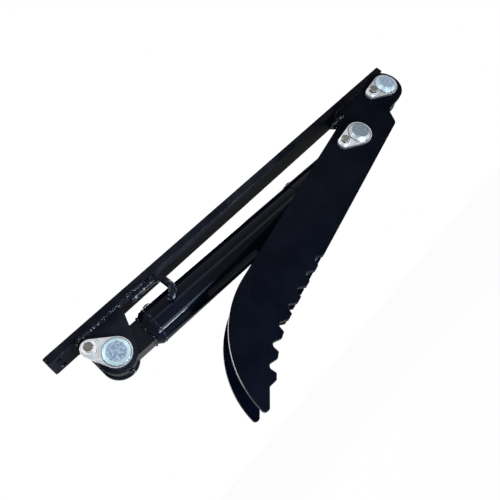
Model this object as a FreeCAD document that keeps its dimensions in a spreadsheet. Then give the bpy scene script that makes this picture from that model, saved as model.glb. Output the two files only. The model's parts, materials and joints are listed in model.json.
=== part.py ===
import FreeCAD, Part
import math
import os
import types

import Sketcher

from FreeCAD import Placement, Rotation, Vector

os.makedirs("parts", exist_ok=True)
doc = FreeCAD.newDocument("hydraulic_thumb")

# Hydraulic thumb of a small excavator, drawn folded with its cylinder retracted.
# The origin is the centre of the face that is welded to the arm, +Z points into the arm,
# +X runs along the base towards the thumb's pivot, and the flags of the pins are at -Y.

# Driving dimensions, in millimetres and degrees
DIMENSIONS = {
    # base plate
    "base_length": 669,
    "base_width": 50,
    "base_thickness": 10,
    "base_corner": 4,
    "end_hole_radius": 4.5,
    "end_hole_inset": 14,
    "end_hole_spacing": 24,
    # places of the pivots: insets from the ends of the base, drops below its mounting face
    "cylinder_pin_inset": 63.5,
    "cylinder_pin_drop": 53,
    "thumb_pin_inset": 49.5,
    "thumb_pin_drop": 40,
    "crank_length": 109.3,
    "crank_angle": 14.5,
    # lugs
    "lug_thickness": 6,
    "lug_gap": 28,
    "lug_nose": 24.3,
    "bolt_edge": 1.5,
    "lug_shoulder": 38.5,
    "lug_shoulder_height": 13,
    "pivot_lug_reach": 72,
    "pivot_lug_rim": 4.5,
    "pivot_lug_shoulder_height": 5,
    # pins, bushes and the tube of the thumb's pivot
    "pin_radius": 17,
    "pin_fit": 0.05,
    "pin_bevel": 6,
    "cylinder_pin_crown": 1.5,
    "thumb_pin_crown": 5,
    "pin_far_crown": 2,
    "pin_proud": 0.5,
    "pin_far_proud": 5,
    "bush_wall": 1.5,
    "pivot_bush_length": 30,
    "press_fit": 0.02,
    "pivot_tube_radius": 23,
    "pivot_play": 0.5,
    # flags that hold the pins
    "flag_thickness": 5,
    "flag_radius": 18.8,
    "flag_hole_play": 0.3,
    "cylinder_flag_small_radius": 11,
    "cylinder_flag_span": 31.6,
    "thumb_flag_small_radius": 9.2,
    "thumb_flag_span": 31,
    "flag_standoff": 1,
    "collar_inset": 0.6,
    "flag_boss_radius": 7,
    "flag_slot_radius": 5.5,
    "flag_slot_length": 3,
    "cylinder_flag_angle": 126.4,
    "pivot_flag_angle": 171,
    "crank_flag_angle": 171,
    # fasteners of the flags
    "bolt_radius": 4,
    "bolt_head_radius": 6.6,
    "bolt_head_height": 5.5,
    "bolt_head_bevel": 1,
    "bolt_point": 0.8,
    "bolt_hole_play": 0.1,
    "bolt_tail": 1,
    "washer_radius": 8.5,
    "washer_thickness": 1.6,
    "spring_washer_radius": 7,
    "spring_washer_thickness": 2.2,
    # thumb plates
    "thumb_gap": 76,
    "thumb_plate_thickness": 8,
    "head_radius": 28.6,
    "back_angle": 12.75,
    "back_straight": 395,
    "back_bend": 130,
    "tip_sweep": 75.2,
    "tip_radius": 5,
    "front_angle": 13.25,
    "neck_offset": 23.5,
    "neck_length": 37.9,
    "step_length": 16,
    "step_inner_bend": 12,
    "step_outer_bend": 9,
    "front_offset": 41.6,
    "front_straight": 404,
    "front_bend": 165,
    # teeth
    "tooth_first": 312,
    "tooth_count": 8,
    "tooth_pitch": 25,
    "notch_width": 17,
    "notch_depth": 8.2,
    "notch_floor_start": 7.2,
    "notch_floor_end": 13,
    "notch_far_share": 0.86,
    "notch_middle_share": 1.04,
    # cross bars between the thumb plates, along and off the front edge
    "bar_width": 48,
    "bar_thickness": 8,
    "bar_setback": 12,
    "upper_bar_place": 184,
    "middle_bar_place": 304,
    "tip_bar_width": 34,
    "tip_bar_place": 434,
    "tip_bar_setback": 36,
    "tip_bar_angle": 34,
    # bosses of the crank pin
    "crank_boss_radius": 22,
    "crank_play": 1,
    "open_pivot_gap": 0.4,
    # cylinder
    "eye_width": 27,
    "eye_radius": 22,
    "neck_half_height": 17.5,
    "cap_start": 44,
    "cap_bevel": 5,
    "cap_bevel_run": 7,
    "tube_start": 56,
    "cap_spigot": 4,
    "barrel_radius": 25,
    "bore_radius": 20,
    "head_clearance": 45.8,
    "head_length": 82,
    "head_radius_outside": 26,
    "head_spigot": 28,
    "head_chamfer": 1.5,
    "slide_fit": 0.1,
    "port_angle": 45,
    "port_radius": 6.6,
    "port_boss_radius": 11,
    "port_boss_height": 12,
    "port_drill_radius": 3,
    "drill_overrun": 2,
    "spot_face_depth": 1.4,
    "spot_face_play": 0.3,
    "base_port_place": 69,
    "rod_port_setback": 55,
    # rod and piston
    "rod_radius": 12.5,
    "rod_fit": 0.05,
    "rod_tail_radius": 9,
    "rod_tail_start": 66,
    "piston_start": 72,
    "piston_end": 98,
    "piston_groove_start": 81,
    "piston_groove_width": 8,
    "piston_groove_depth": 3.5,
    "nut_radius": 13,
    "rod_eye_neck": 30,
    "rod_eye_neck_half_height": 15,
    "seal_setback": 30,
    "seal_width": 8,
    "seal_depth": 4.5,
    "seal_side_gap": 0.2,
    "wiper_width": 6,
    "wiper_depth": 4,
    "wiper_lip": 1.5,
    "wiper_lip_wall": 0.8,
    # grease nipples
    "nipple_radius": 3.6,
    "nipple_neck_radius": 2.2,
    "nipple_height": 6,
    "nipple_crown_share": 0.6,
    "nipple_bead_share": 1.2,
    "nipple_bead_height_share": 0.8,
    "nipple_neck_end_share": 0.6,
    "nipple_base_share": 0.45,
    "eye_nipple_angle": -90,
    # hose guide, a bent round bar
    "guide_radius": 5,
    "guide_side": 20,
    "guide_start": 55,
    "guide_turn": 101,
    "guide_turn_height": 8,
    "guide_lean": 32,
    "guide_turn_lean": 28.8,
    "guide_end": 87,
    "guide_end_height": 1,
    "guide_bend": 11,
}

sheet = doc.addObject("Spreadsheet::Sheet", "Sizes")
for row, (name, value) in enumerate(DIMENSIONS.items(), start=1):
    sheet.set(f"A{row}", name)
    sheet.set(f"B{row}", str(value))
    sheet.setAlias(f"B{row}", name)
doc.recompute()


class Size:
    """A number together with the formula that works it out from the sheet's cells."""

    def __init__(self, value, formula=None):
        self.value = float(value)
        self.formula = formula or f"({self.value!r})"

    def __add__(self, other):
        other = as_size(other)
        return Size(self.value + other.value, f"({self.formula} + {other.formula})")

    def __sub__(self, other):
        other = as_size(other)
        return Size(self.value - other.value, f"({self.formula} - {other.formula})")

    def __mul__(self, other):
        other = as_size(other)
        return Size(self.value * other.value, f"({self.formula} * {other.formula})")

    def __truediv__(self, other):
        other = as_size(other)
        return Size(self.value / other.value, f"({self.formula} / {other.formula})")

    def __neg__(self):
        return Size(-self.value, f"(0 - {self.formula})")

    def __radd__(self, other):
        return as_size(other) + self

    def __rsub__(self, other):
        return as_size(other) - self

    def __rmul__(self, other):
        return as_size(other) * self


def as_size(value):
    """Return the value as a Size, a plain number being its own formula."""
    return value if isinstance(value, Size) else Size(value)


def cosine(angle):
    """Return the cosine of a Size in degrees."""
    return Size(math.cos(math.radians(angle.value)), f"cos({angle.formula} * 1 deg)")


def sine(angle):
    """Return the sine of a Size in degrees."""
    return Size(math.sin(math.radians(angle.value)), f"sin({angle.formula} * 1 deg)")


def distance(across, up):
    """Return the length of a line from its two runs."""
    squares = across * across + up * up
    return Size(math.sqrt(squares.value), f"sqrt({squares.formula})")


size = types.SimpleNamespace(**{
    name: Size(sheet.get(name), f"Sizes.{name}") for name in DIMENSIONS})

# Places worked out from the driving dimensions
cylinder_x = size.cylinder_pin_inset - size.base_length / 2
cylinder_z = -size.cylinder_pin_drop
pivot_x = size.base_length / 2 - size.thumb_pin_inset
pivot_z = -size.thumb_pin_drop
crank_x = pivot_x - size.crank_length * cosine(size.crank_angle)
crank_z = pivot_z - size.crank_length * sine(size.crank_angle)
base_underside = -size.base_thickness
lug_inner = size.lug_gap / 2
lug_outer = lug_inner + size.lug_thickness
plate_inner = size.thumb_gap / 2
plate_outer = plate_inner + size.thumb_plate_thickness
pin_hole_radius = size.pin_radius + size.pin_fit
bolt_hole_radius = size.bolt_radius + size.bolt_hole_play
bush_radius = pin_hole_radius + size.bush_wall
bush_bore_radius = bush_radius + size.press_fit
eye_side = size.eye_width / 2
boss_inner = eye_side + size.crank_play
cylinder_closed = distance(crank_x - cylinder_x, crank_z - cylinder_z)
head_end = cylinder_closed - size.head_clearance
head_start = head_end - size.head_length
cylinder_tilt = math.degrees(math.atan2(cylinder_z.value - crank_z.value,
                                        crank_x.value - cylinder_x.value))

FULL_TURN = 360.0
UPRIGHT = Rotation()
X_TO_Y = Rotation(Vector(0, 0, 1), 90)
ALONG_CYLINDER = Rotation(Vector(0, 1, 0), cylinder_tilt)

nodes = []


def keep(label, obj):
    """Name an object as one piece of the thumb and return it."""
    obj.Label = label
    nodes.append(obj)
    return obj


def put(obj, x, y, z, rotation=UPRIGHT):
    """Turn an object and bind its place to the formulas of three sizes."""
    obj.Placement = Placement(Vector(0, 0, 0), rotation)
    for axis, place in zip("xyz", (x, y, z)):
        obj.setExpression(f"Placement.Base.{axis}", as_size(place).formula)
    return obj


def on_cylinder(obj, distance=0.0, turn=UPRIGHT):
    """Put an object on the cylinder's axis at a distance from the pin of the base."""
    direction = ALONG_CYLINDER.multVec(Vector(1, 0, 0))
    obj.Placement = Placement(Vector(0, 0, 0), ALONG_CYLINDER.multiply(turn))
    step = as_size(distance)
    obj.setExpression("Placement.Base.x", (cylinder_x + step * direction.x).formula)
    obj.setExpression("Placement.Base.z", (cylinder_z + step * direction.z).formula)
    return obj


# Sketches

def new_body(name):
    """Return a new body."""
    return doc.addObject("PartDesign::Body", name)


def sketch_on(body, role, offset=0.0):
    """Return a sketch on one of the body's origin planes, moved off it by an offset."""
    plane = next(item for item in body.Origin.OriginFeatures if item.Role == role)
    sketch = body.newObject("Sketcher::SketchObject", body.Name + "_sketch")
    sketch.AttachmentSupport = (plane, [""])
    sketch.MapMode = "FlatFace"
    sketch.setExpression("AttachmentOffset.Base.z", as_size(offset).formula)
    return sketch


def hold(sketch, kind, place, geometry, point):
    """Fix one coordinate of a point, on an axis or at a distance bound to a formula."""
    if abs(place.value) < 1e-9:
        axis = -1 if kind == "DistanceY" else -2
        sketch.addConstraint(Sketcher.Constraint("PointOnObject", geometry, point, axis))
        return
    index = sketch.addConstraint(
        Sketcher.Constraint(kind, -1, 1, geometry, point, place.value))
    sketch.setExpression(f"Constraints[{index}]", place.formula)


def add_polygon(sketch, points):
    """Draw a closed polygon whose corners are bound to the sizes of their coordinates."""
    corners = [(as_size(x), as_size(y)) for x, y in points]
    first = None
    last = None
    for number, (x, y) in enumerate(corners):
        next_x, next_y = corners[(number + 1) % len(corners)]
        line = sketch.addGeometry(Part.LineSegment(
            Vector(x.value, y.value, 0), Vector(next_x.value, next_y.value, 0)), False)
        if last is not None:
            sketch.addConstraint(Sketcher.Constraint("Coincident", last, 2, line, 1))
        first = line if first is None else first
        last = line
    sketch.addConstraint(Sketcher.Constraint("Coincident", last, 2, first, 1))
    for number, (x, y) in enumerate(corners):
        hold(sketch, "DistanceX", x, first + number, 1)
        hold(sketch, "DistanceY", y, first + number, 1)


def add_circle(sketch, x, y, radius):
    """Draw a circle whose centre and radius are bound to sizes."""
    x, y, radius = as_size(x), as_size(y), as_size(radius)
    ring = sketch.addGeometry(
        Part.Circle(Vector(x.value, y.value, 0), Vector(0, 0, 1), radius.value), False)
    index = sketch.addConstraint(Sketcher.Constraint("Radius", ring, radius.value))
    sketch.setExpression(f"Constraints[{index}]", radius.formula)
    hold(sketch, "DistanceX", x, ring, 3)
    hold(sketch, "DistanceY", y, ring, 3)


def point(x, y):
    """Return a point of a sketch from two sizes or numbers."""
    return Vector(as_size(x).value, as_size(y).value, 0)


def polar(centre, radius, angle):
    """Return the point at an angle in degrees on a circle."""
    turn = math.radians(angle)
    return centre + Vector(math.cos(turn), math.sin(turn), 0) * radius


def add_arc(sketch, centre, radius, start, end):
    """Draw an arc through the angles start and end, in degrees, the way round they are given."""
    middle = polar(centre, radius, (start + end) / 2)
    sketch.addGeometry(
        Part.Arc(polar(centre, radius, start), middle, polar(centre, radius, end)), False)


def add_lines(sketch, *points):
    """Draw straight lines from each point to the next."""
    for start, end in zip(points, points[1:]):
        sketch.addGeometry(Part.LineSegment(start, end), False)


def angle_of(vector):
    """Return the direction of a vector in degrees."""
    return math.degrees(math.atan2(vector.y, vector.x))


def tangent_angle(outside, centre, radius, side):
    """Return the angle on a circle where a line from an outside point touches it.

    side is 1 where the touching point lies anticlockwise of the line to the centre's far end.
    """
    away = outside - centre
    return angle_of(away) + side * math.degrees(math.acos(radius / away.Length))


# Solids

def pad(body, sketch, length, midplane=False):
    """Pad a sketch by a bound length, away from -Y's opposite or to both sides."""
    feature = body.newObject("PartDesign::Pad", body.Name + "_pad")
    feature.Profile = sketch
    feature.setExpression("Length", as_size(length).formula)
    if midplane:
        feature.SideType = "Symmetric"
    return feature


def revolve(body, sketch):
    """Revolve a sketch a full turn about its own first axis."""
    feature = body.newObject("PartDesign::Revolution", body.Name + "_turned")
    feature.Profile = sketch
    feature.ReferenceAxis = (sketch, ["H_Axis"])
    feature.Angle = FULL_TURN
    return feature


def turned(name, profile):
    """Return a turned body from the corners of its half section, along X by radius."""
    body = new_body(name)
    sketch = sketch_on(body, "XY_Plane")
    add_polygon(sketch, profile)
    revolve(body, sketch)
    return body


def ring(name, start, end, inner, outer):
    """Return a plain ring along X."""
    return turned(name, [(start, inner), (end, inner), (end, outer), (start, outer)])


def cut(name, base, *tools):
    """Return the base with the tools taken out of it."""
    result = doc.addObject("Part::Cut", name)
    result.Base = base
    result.Tool = tools[0] if len(tools) == 1 else fuse(name + "_tools", *tools)
    return result


def fuse(name, *pieces):
    """Return several solids joined into one."""
    result = doc.addObject("Part::MultiFuse", name)
    result.Shapes = list(pieces)
    return result


def group(name, *pieces):
    """Return separate alike solids as one object."""
    result = doc.addObject("Part::Compound", name)
    result.Links = list(pieces)
    return result


def rod_shape(name, radius, length):
    """Return a plain round tool of bound radius and length, along its own +Z."""
    result = doc.addObject("Part::Cylinder", name)
    result.setExpression("Radius", as_size(radius).formula)
    result.setExpression("Height", as_size(length).formula)
    return result


# Base plate and its lugs

def base_plate():
    """Flat bar that is welded to the arm, with two bolt holes side by side at one end."""
    body = new_body("base_plate")
    sketch = sketch_on(body, "XY_Plane", base_underside)
    half_x = size.base_length / 2
    half_y = size.base_width / 2
    add_polygon(sketch, [(-half_x, -half_y), (half_x, -half_y), (half_x, half_y),
                         (-half_x, half_y)])
    hole_x = size.end_hole_inset - half_x
    for side in (-1, 1):
        add_circle(sketch, hole_x, size.end_hole_spacing * (side / 2), size.end_hole_radius)
    plate = pad(body, sketch, size.base_thickness)
    doc.recompute()
    corners = [f"Edge{number}" for number, edge in enumerate(plate.Shape.Edges, start=1)
               if len(edge.Vertexes) == 2 and abs(edge.tangentAt(edge.FirstParameter).z) > 0.99
               and abs(abs(edge.CenterOfMass.x) - half_x.value) < 0.01]
    rounding = body.newObject("PartDesign::Fillet", "base_plate_corners")
    rounding.Base = (plate, corners)
    rounding.setExpression("Radius", size.base_corner.formula)
    keep("base_plate", body)


def lug(label, side, rise, shoulder, shoulder_height, nose_radius, back, hole_radius,
        bolt_place=None):
    """Lug welded under the base plate: a round nose at the pin and a shoulder on one side.

    rise is the height of the base's underside over the pin, shoulder the signed reach of the
    wide side, back the reach of the other side, and side the sign of Y.
    """
    body = new_body(label)
    offset = lug_inner if side < 0 else -lug_outer
    sketch = sketch_on(body, "XZ_Plane", offset)
    way = math.copysign(1, shoulder.value)
    centre = point(0, 0)
    nose = nose_radius.value
    top = rise.value
    corner = point(shoulder, rise - shoulder_height)
    touch = tangent_angle(corner, centre, nose, -way)
    add_arc(sketch, centre, nose, touch, -FULL_TURN / 2 if way > 0 else FULL_TURN)
    add_lines(sketch, point(-way * nose, 0), point(-way * back.value, top),
              point(shoulder, top), corner, polar(centre, nose, touch))
    add_circle(sketch, 0, 0, hole_radius)
    if bolt_place:
        add_circle(sketch, bolt_place[0], bolt_place[1], bolt_hole_radius)
    pad(body, sketch, size.lug_thickness)
    return keep(label, body)


def base_lugs():
    """Two lugs for the cylinder and two for the thumb's pivot tube."""
    bolt = flag_place(Size(0), Size(0), size.cylinder_flag_angle, size.cylinder_flag_span)
    back = bolt_hole_radius + size.bolt_edge - bolt[0]
    rise = base_underside - cylinder_z
    for label, side in (("cylinder_lug_near", -1), ("cylinder_lug_far", 1)):
        body = lug(label, side, rise, size.lug_shoulder, size.lug_shoulder_height,
                   size.lug_nose, back, pin_hole_radius, bolt if side < 0 else None)
        put(body, cylinder_x, 0, cylinder_z)
    nose = size.pivot_tube_radius + size.pivot_lug_rim
    rise = base_underside - pivot_z
    for label, side in (("pivot_lug_near", -1), ("pivot_lug_far", 1)):
        body = lug(label, side, rise, -size.pivot_lug_reach, size.pivot_lug_shoulder_height,
                   nose, nose, size.pivot_tube_radius + size.press_fit)
        put(body, pivot_x, 0, pivot_z)


def pivot_tube():
    """Tube through the pivot lugs with a bush pressed in at each end."""
    end = plate_inner - size.pivot_play
    tube = ring("pivot_tube", -end, end, bush_bore_radius, size.pivot_tube_radius)
    keep("pivot_tube", put(tube, pivot_x, 0, pivot_z, X_TO_Y))
    inner = end - size.pivot_bush_length
    near = ring("pivot_bush_near", -end, -inner, pin_hole_radius, bush_radius)
    far = ring("pivot_bush_far", inner, end, pin_hole_radius, bush_radius)
    for bush in (near, far):
        put(bush, pivot_x, 0, pivot_z, X_TO_Y)
    keep("pivot_bushes", group("pivot_bushes", near, far))
    nipple = grease_nipple("pivot_nipple")
    keep("pivot_nipple", put(nipple, pivot_x + size.pivot_tube_radius, 0, pivot_z))


def grease_nipple(name):
    """Small grease nipple standing along its own +X."""
    tall = size.nipple_height
    wide = size.nipple_radius
    thin = size.nipple_neck_radius
    crown = thin * size.nipple_crown_share
    bead = thin * size.nipple_bead_share
    bead_height = tall * size.nipple_bead_height_share
    neck_end = tall * size.nipple_neck_end_share
    base = tall * size.nipple_base_share
    return turned(name, [(0, 0), (tall, 0), (tall, crown), (bead_height, bead),
                         (neck_end, thin), (base, thin), (base, wide), (0, wide)])


def hose_guide():
    """Round bar welded along the base's underside and bent down past the barrel's side."""
    radius = size.guide_radius.value
    side = -size.guide_side.value
    under = base_underside.value - radius - size.press_fit.value
    start_x = cylinder_x.value + size.guide_start.value
    turn_x = cylinder_x.value + size.guide_turn.value
    end_x = cylinder_x.value + size.guide_end.value
    route = [Vector(start_x, side, under),
             Vector(turn_x, side, under),
             Vector(turn_x, -size.guide_turn_lean.value, cylinder_z.value
                    + size.guide_turn_height.value),
             Vector(end_x, -size.guide_lean.value, cylinder_z.value
                    + size.guide_end_height.value)]
    bend = size.guide_bend.value
    edges = []
    last = route[0]
    for before, corner, after in zip(route, route[1:], route[2:]):
        back = (before - corner).normalize()
        onward = (after - corner).normalize()
        half = back.getAngle(onward) / 2
        reach = bend / math.tan(half)
        bisector = (back + onward).normalize()
        middle = corner + bisector * (bend / math.sin(half) - bend)
        edges.append(Part.LineSegment(last, corner + back * reach).toShape())
        edges.append(Part.Arc(corner + back * reach, middle, corner + onward * reach).toShape())
        last = corner + onward * reach
    edges.append(Part.LineSegment(last, route[-1]).toShape())
    path = Part.Wire(edges)
    section = Part.Wire([Part.makeCircle(radius, route[0], Vector(1, 0, 0))])
    bar = doc.addObject("Part::Feature", "hose_guide")
    bar.Shape = path.makePipe(Part.Face(section))
    keep("hose_guide", bar)


# Pins with their flags and fasteners

def pin_profile(start, crown, end):
    """Half section of a pin, bevelled towards both ends, with its crown at the flag's end."""
    radius = size.pin_radius
    small = radius - size.pin_bevel
    return [(start, 0), (end, 0), (end, small), (end - size.pin_far_crown, radius),
            (start + crown, radius), (start, small)]


def flag(label, seat, x, z, angle, span, small_radius, slot_start):
    """Teardrop plate round a pin, with a slotted hole for the bolt that holds it."""
    body = new_body(label)
    sketch = sketch_on(body, "XZ_Plane", seat)
    centre = point(0, 0)
    far = point(span, 0)
    big = size.flag_radius.value
    small = small_radius.value
    lean = math.degrees(math.acos((big - small) / span.value))
    add_arc(sketch, centre, big, lean, FULL_TURN - lean)
    add_arc(sketch, far, small, -lean, lean)
    for side in (1, -1):
        add_lines(sketch, polar(centre, big, side * lean), polar(far, small, side * lean))
    add_circle(sketch, 0, 0, size.pin_radius + size.flag_hole_play)
    slot = size.flag_slot_radius.value
    inner = point(slot_start, 0)
    outer = point(slot_start + size.flag_slot_length, 0)
    add_arc(sketch, inner, slot, 90, 270)
    add_arc(sketch, outer, slot, -90, 90)
    for turn in (90, -90):
        add_lines(sketch, polar(inner, slot, turn), polar(outer, slot, turn))
    pad(body, sketch, size.flag_thickness)
    put(body, x, 0, z, Rotation(Vector(0, 1, 0), -angle.value))
    return keep(label, body)


def hex_bolt(name, seat, tail):
    """Hexagon bolt along +X: the head ends at the seat and the shank reaches the tail."""
    head = doc.addObject("Part::Prism", name + "_hexagon")
    head.Polygon = 6
    head.setExpression("Circumradius", size.bolt_head_radius.formula)
    head.setExpression("Height", size.bolt_head_height.formula)
    put(head, seat - size.bolt_head_height, 0, 0, Rotation(Vector(0, 1, 0), 90))
    top = seat - size.bolt_head_height
    wide = size.bolt_head_radius
    bevel = size.bolt_head_bevel
    blank = turned(name + "_blank", [(top, 0), (seat, 0), (seat, wide),
                                     (top + bevel / 2, wide), (top, wide - bevel)])
    crowned = doc.addObject("Part::Common", name + "_head")
    crowned.Base = head
    crowned.Tool = blank
    root = seat - bevel
    tip = size.bolt_point
    shank = turned(name + "_shank", [(root, 0), (tail, 0), (tail, size.bolt_radius - tip),
                                     (tail - tip, size.bolt_radius),
                                     (root, size.bolt_radius)])
    return fuse(name, crowned, shank)


def flag_place(x, z, angle, span):
    """Return the place of the bolt of a flag at a pin."""
    return x + span * cosine(angle), z + span * sine(angle)


def cylinder_pin():
    """Pin of the cylinder's base eye, kept by its flag, one bolt and a washer."""
    face = lug_outer + size.flag_thickness
    crown = size.cylinder_pin_crown
    pin = turned("cylinder_pin", pin_profile(-face - size.pin_proud - crown, crown,
                                             lug_outer + size.pin_far_proud))
    keep("cylinder_pin", put(pin, cylinder_x, 0, cylinder_z, X_TO_Y))
    angle = size.cylinder_flag_angle
    span = size.cylinder_flag_span
    flag("cylinder_pin_flag", lug_outer, cylinder_x, cylinder_z, angle, span,
         size.cylinder_flag_small_radius, span)
    bolt_x, bolt_z = flag_place(cylinder_x, cylinder_z, angle, span)
    washer = ring("cylinder_flag_washer", -face - size.washer_thickness, -face,
                  bolt_hole_radius, size.washer_radius)
    keep("cylinder_flag_washer", put(washer, bolt_x, 0, bolt_z, X_TO_Y))
    bolt = hex_bolt("cylinder_flag_bolt", -face - size.washer_thickness,
                    size.bolt_tail - lug_inner)
    keep("cylinder_flag_bolt", put(bolt, bolt_x, 0, bolt_z, X_TO_Y))


def thumb_pins():
    """Pivot pin and crank pin with their flags, collars, bosses, bolts and washers."""
    seat = plate_outer + size.flag_standoff
    face = seat + size.flag_thickness
    crown = size.thumb_pin_crown
    outer_end = face + size.pin_proud + crown
    far_end = plate_outer + size.pin_far_proud
    pin = turned("pivot_pin", pin_profile(-outer_end, crown, far_end))
    keep("pivot_pin", put(pin, pivot_x, 0, pivot_z, X_TO_Y))
    # the crank pin is parted beside the rod's eye, where the linkage is opened
    stub_end = eye_side + size.open_pivot_gap
    small = size.pin_radius - size.pin_bevel
    near = turned("crank_pin_near", [
        (-outer_end, 0), (-stub_end, 0), (-stub_end, size.pin_radius),
        (crown - outer_end, size.pin_radius), (-outer_end, small)])
    far = turned("crank_pin_far", [
        (stub_end, 0), (far_end, 0), (far_end, small),
        (far_end - size.pin_far_crown, size.pin_radius), (stub_end, size.pin_radius)])
    for piece in (near, far):
        put(piece, crank_x, 0, crank_z, X_TO_Y)
    keep("crank_pin", group("crank_pin", near, far))
    flag_sets = (("pivot", pivot_x, pivot_z, size.pivot_flag_angle),
                 ("crank", crank_x, crank_z, size.crank_flag_angle))
    collars, bosses, bolts, springs, washers = [], [], [], [], []
    span = size.thumb_flag_span
    for name, x, z, angle in flag_sets:
        flag(f"{name}_pin_flag", seat, x, z, angle, span, size.thumb_flag_small_radius,
             span - size.flag_slot_length)
        bolt_x, bolt_z = flag_place(x, z, angle, span)
        spring_face = face + size.washer_thickness
        bolt_seat = spring_face + size.spring_washer_thickness
        collars.append(put(ring(f"{name}_collar", -seat, -plate_outer, pin_hole_radius,
                                size.flag_radius - size.collar_inset), x, 0, z, X_TO_Y))
        bosses.append(put(ring(f"{name}_bolt_boss", -seat, -plate_outer, bolt_hole_radius,
                               size.flag_boss_radius), bolt_x, 0, bolt_z, X_TO_Y))
        washers.append(put(ring(f"{name}_flag_washer", -spring_face, -face, bolt_hole_radius,
                                size.washer_radius), bolt_x, 0, bolt_z, X_TO_Y))
        springs.append(put(ring(f"{name}_flag_spring", -bolt_seat, -spring_face,
                                bolt_hole_radius, size.spring_washer_radius),
                           bolt_x, 0, bolt_z, X_TO_Y))
        bolts.append(put(hex_bolt(f"{name}_flag_bolt", -bolt_seat, size.bolt_tail - plate_inner),
                         bolt_x, 0, bolt_z, X_TO_Y))
    keep("pin_collars", group("pin_collars", *collars))
    keep("flag_bolt_bosses", group("flag_bolt_bosses", *bosses))
    keep("thumb_flag_bolts", group("thumb_flag_bolts", *bolts))
    keep("thumb_flag_spring_washers", group("thumb_flag_spring_washers", *springs))
    keep("thumb_flag_washers", group("thumb_flag_washers", *washers))


# Thumb

def edge_point(angle, distance, offset):
    """Point at a distance along a line from the pivot towards the tip, set off to one side.

    angle is the slope of the line, and a positive offset is towards the teeth.
    """
    turn = math.radians(angle)
    along = Vector(-math.cos(turn), -math.sin(turn), 0)
    across = Vector(math.sin(turn), -math.cos(turn), 0)
    return along * distance + across * offset


def front_point(distance, depth):
    """Point on the toothed edge, straight at first and then bent, at a depth inside it."""
    angle = size.front_angle.value
    straight = size.front_straight.value
    offset = size.front_offset.value
    if distance <= straight:
        return edge_point(angle, distance, offset - depth)
    bend = size.front_bend.value
    centre = edge_point(angle, straight, offset + bend)
    turn = math.degrees((distance - straight) / bend)
    return polar(centre, bend + depth, 90 + angle + turn)


def rounded_corner(sketch, before, corner, after, radius):
    """Draw an arc that rounds a corner and return its two ends."""
    back = (before - corner).normalize()
    onward = (after - corner).normalize()
    half = back.getAngle(onward) / 2
    reach = radius / math.tan(half)
    middle = corner + (back + onward).normalize() * (radius / math.sin(half) - radius)
    start = corner + back * reach
    end = corner + onward * reach
    sketch.addGeometry(Part.Arc(start, middle, end), False)
    return start, end


def thumb_outline(sketch):
    """Draw the outline of a thumb plate about its pivot: head, back, tip, teeth and neck."""
    centre = point(0, 0)
    head = size.head_radius.value
    back_angle = size.back_angle.value
    front_angle = size.front_angle.value
    # back edge, straight from the head and then round to the tip
    back_start = edge_point(back_angle, 0, -head)
    back_end = edge_point(back_angle, size.back_straight.value, -head)
    bend = size.back_bend.value
    bend_centre = edge_point(back_angle, size.back_straight.value, bend - head)
    bend_start = 90 + back_angle
    bend_end = bend_start + size.tip_sweep.value
    tip = size.tip_radius.value
    tip_centre = polar(bend_centre, bend - tip, bend_end)
    add_lines(sketch, back_start, back_end)
    add_arc(sketch, bend_centre, bend, bend_start, bend_end)
    # last notch, whose floor runs on to the tip
    pitch = size.tooth_pitch.value
    count = round(size.tooth_count.value)
    lips = [size.tooth_first.value + pitch * number for number in range(count)]
    depth = size.notch_depth.value
    floor_start = size.notch_floor_start.value
    floor_end = size.notch_floor_end.value
    last_floor = front_point(lips[-1] + floor_start, depth)
    touch = tangent_angle(last_floor, tip_centre, tip, -1)
    add_arc(sketch, tip_centre, tip, bend_end, touch + FULL_TURN if touch < bend_end else touch)
    add_lines(sketch, polar(tip_centre, tip, touch), last_floor, front_point(lips[-1], 0))
    # notches from the tip's side to the head's side
    for lip, next_lip in zip(reversed(lips[:-1]), reversed(lips)):
        edge = [front_point(next_lip, 0), front_point(lip + size.notch_width.value, 0)]
        floor = [front_point(lip + floor_end, depth * size.notch_far_share.value),
                 front_point(lip + (floor_start + floor_end) / 2,
                             depth * size.notch_middle_share.value),
                 front_point(lip + floor_start, depth)]
        add_lines(sketch, *edge, floor[0])
        sketch.addGeometry(Part.Arc(*floor), False)
        add_lines(sketch, floor[-1], front_point(lip, 0))
    # front edge back to the neck and the head
    neck = size.neck_offset.value
    neck_end = edge_point(front_angle, size.neck_length.value, neck)
    step_end = edge_point(front_angle, size.neck_length.value + size.step_length.value,
                          size.front_offset.value)
    neck_start = polar(centre, head, tangent_angle(neck_end, centre, head, 1))
    first_lip = front_point(lips[0], 0)
    outer = rounded_corner(sketch, first_lip, step_end, neck_end, size.step_outer_bend.value)
    inner = rounded_corner(sketch, step_end, neck_end, neck_start, size.step_inner_bend.value)
    add_lines(sketch, first_lip, outer[0])
    add_lines(sketch, outer[1], inner[0])
    add_lines(sketch, inner[1], neck_start)
    add_arc(sketch, centre, head, angle_of(neck_start), angle_of(back_start))


def thumb_plates():
    """Two side plates cut to the same outline, the near one with the flags' bolt holes."""
    crank = (-size.crank_length * cosine(size.crank_angle),
             -size.crank_length * sine(size.crank_angle))
    for label, side in (("thumb_plate_near", -1), ("thumb_plate_far", 1)):
        body = new_body(label)
        sketch = sketch_on(body, "XZ_Plane", plate_inner if side < 0 else -plate_outer)
        thumb_outline(sketch)
        add_circle(sketch, 0, 0, pin_hole_radius)
        add_circle(sketch, *crank, pin_hole_radius)
        if side < 0:
            span = size.thumb_flag_span
            for place, angle in (((Size(0), Size(0)), size.pivot_flag_angle),
                                 (crank, size.crank_flag_angle)):
                add_circle(sketch, *flag_place(*place, angle, span), bolt_hole_radius)
        pad(body, sketch, size.thumb_plate_thickness)
        keep(label, put(body, pivot_x, 0, pivot_z))


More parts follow.
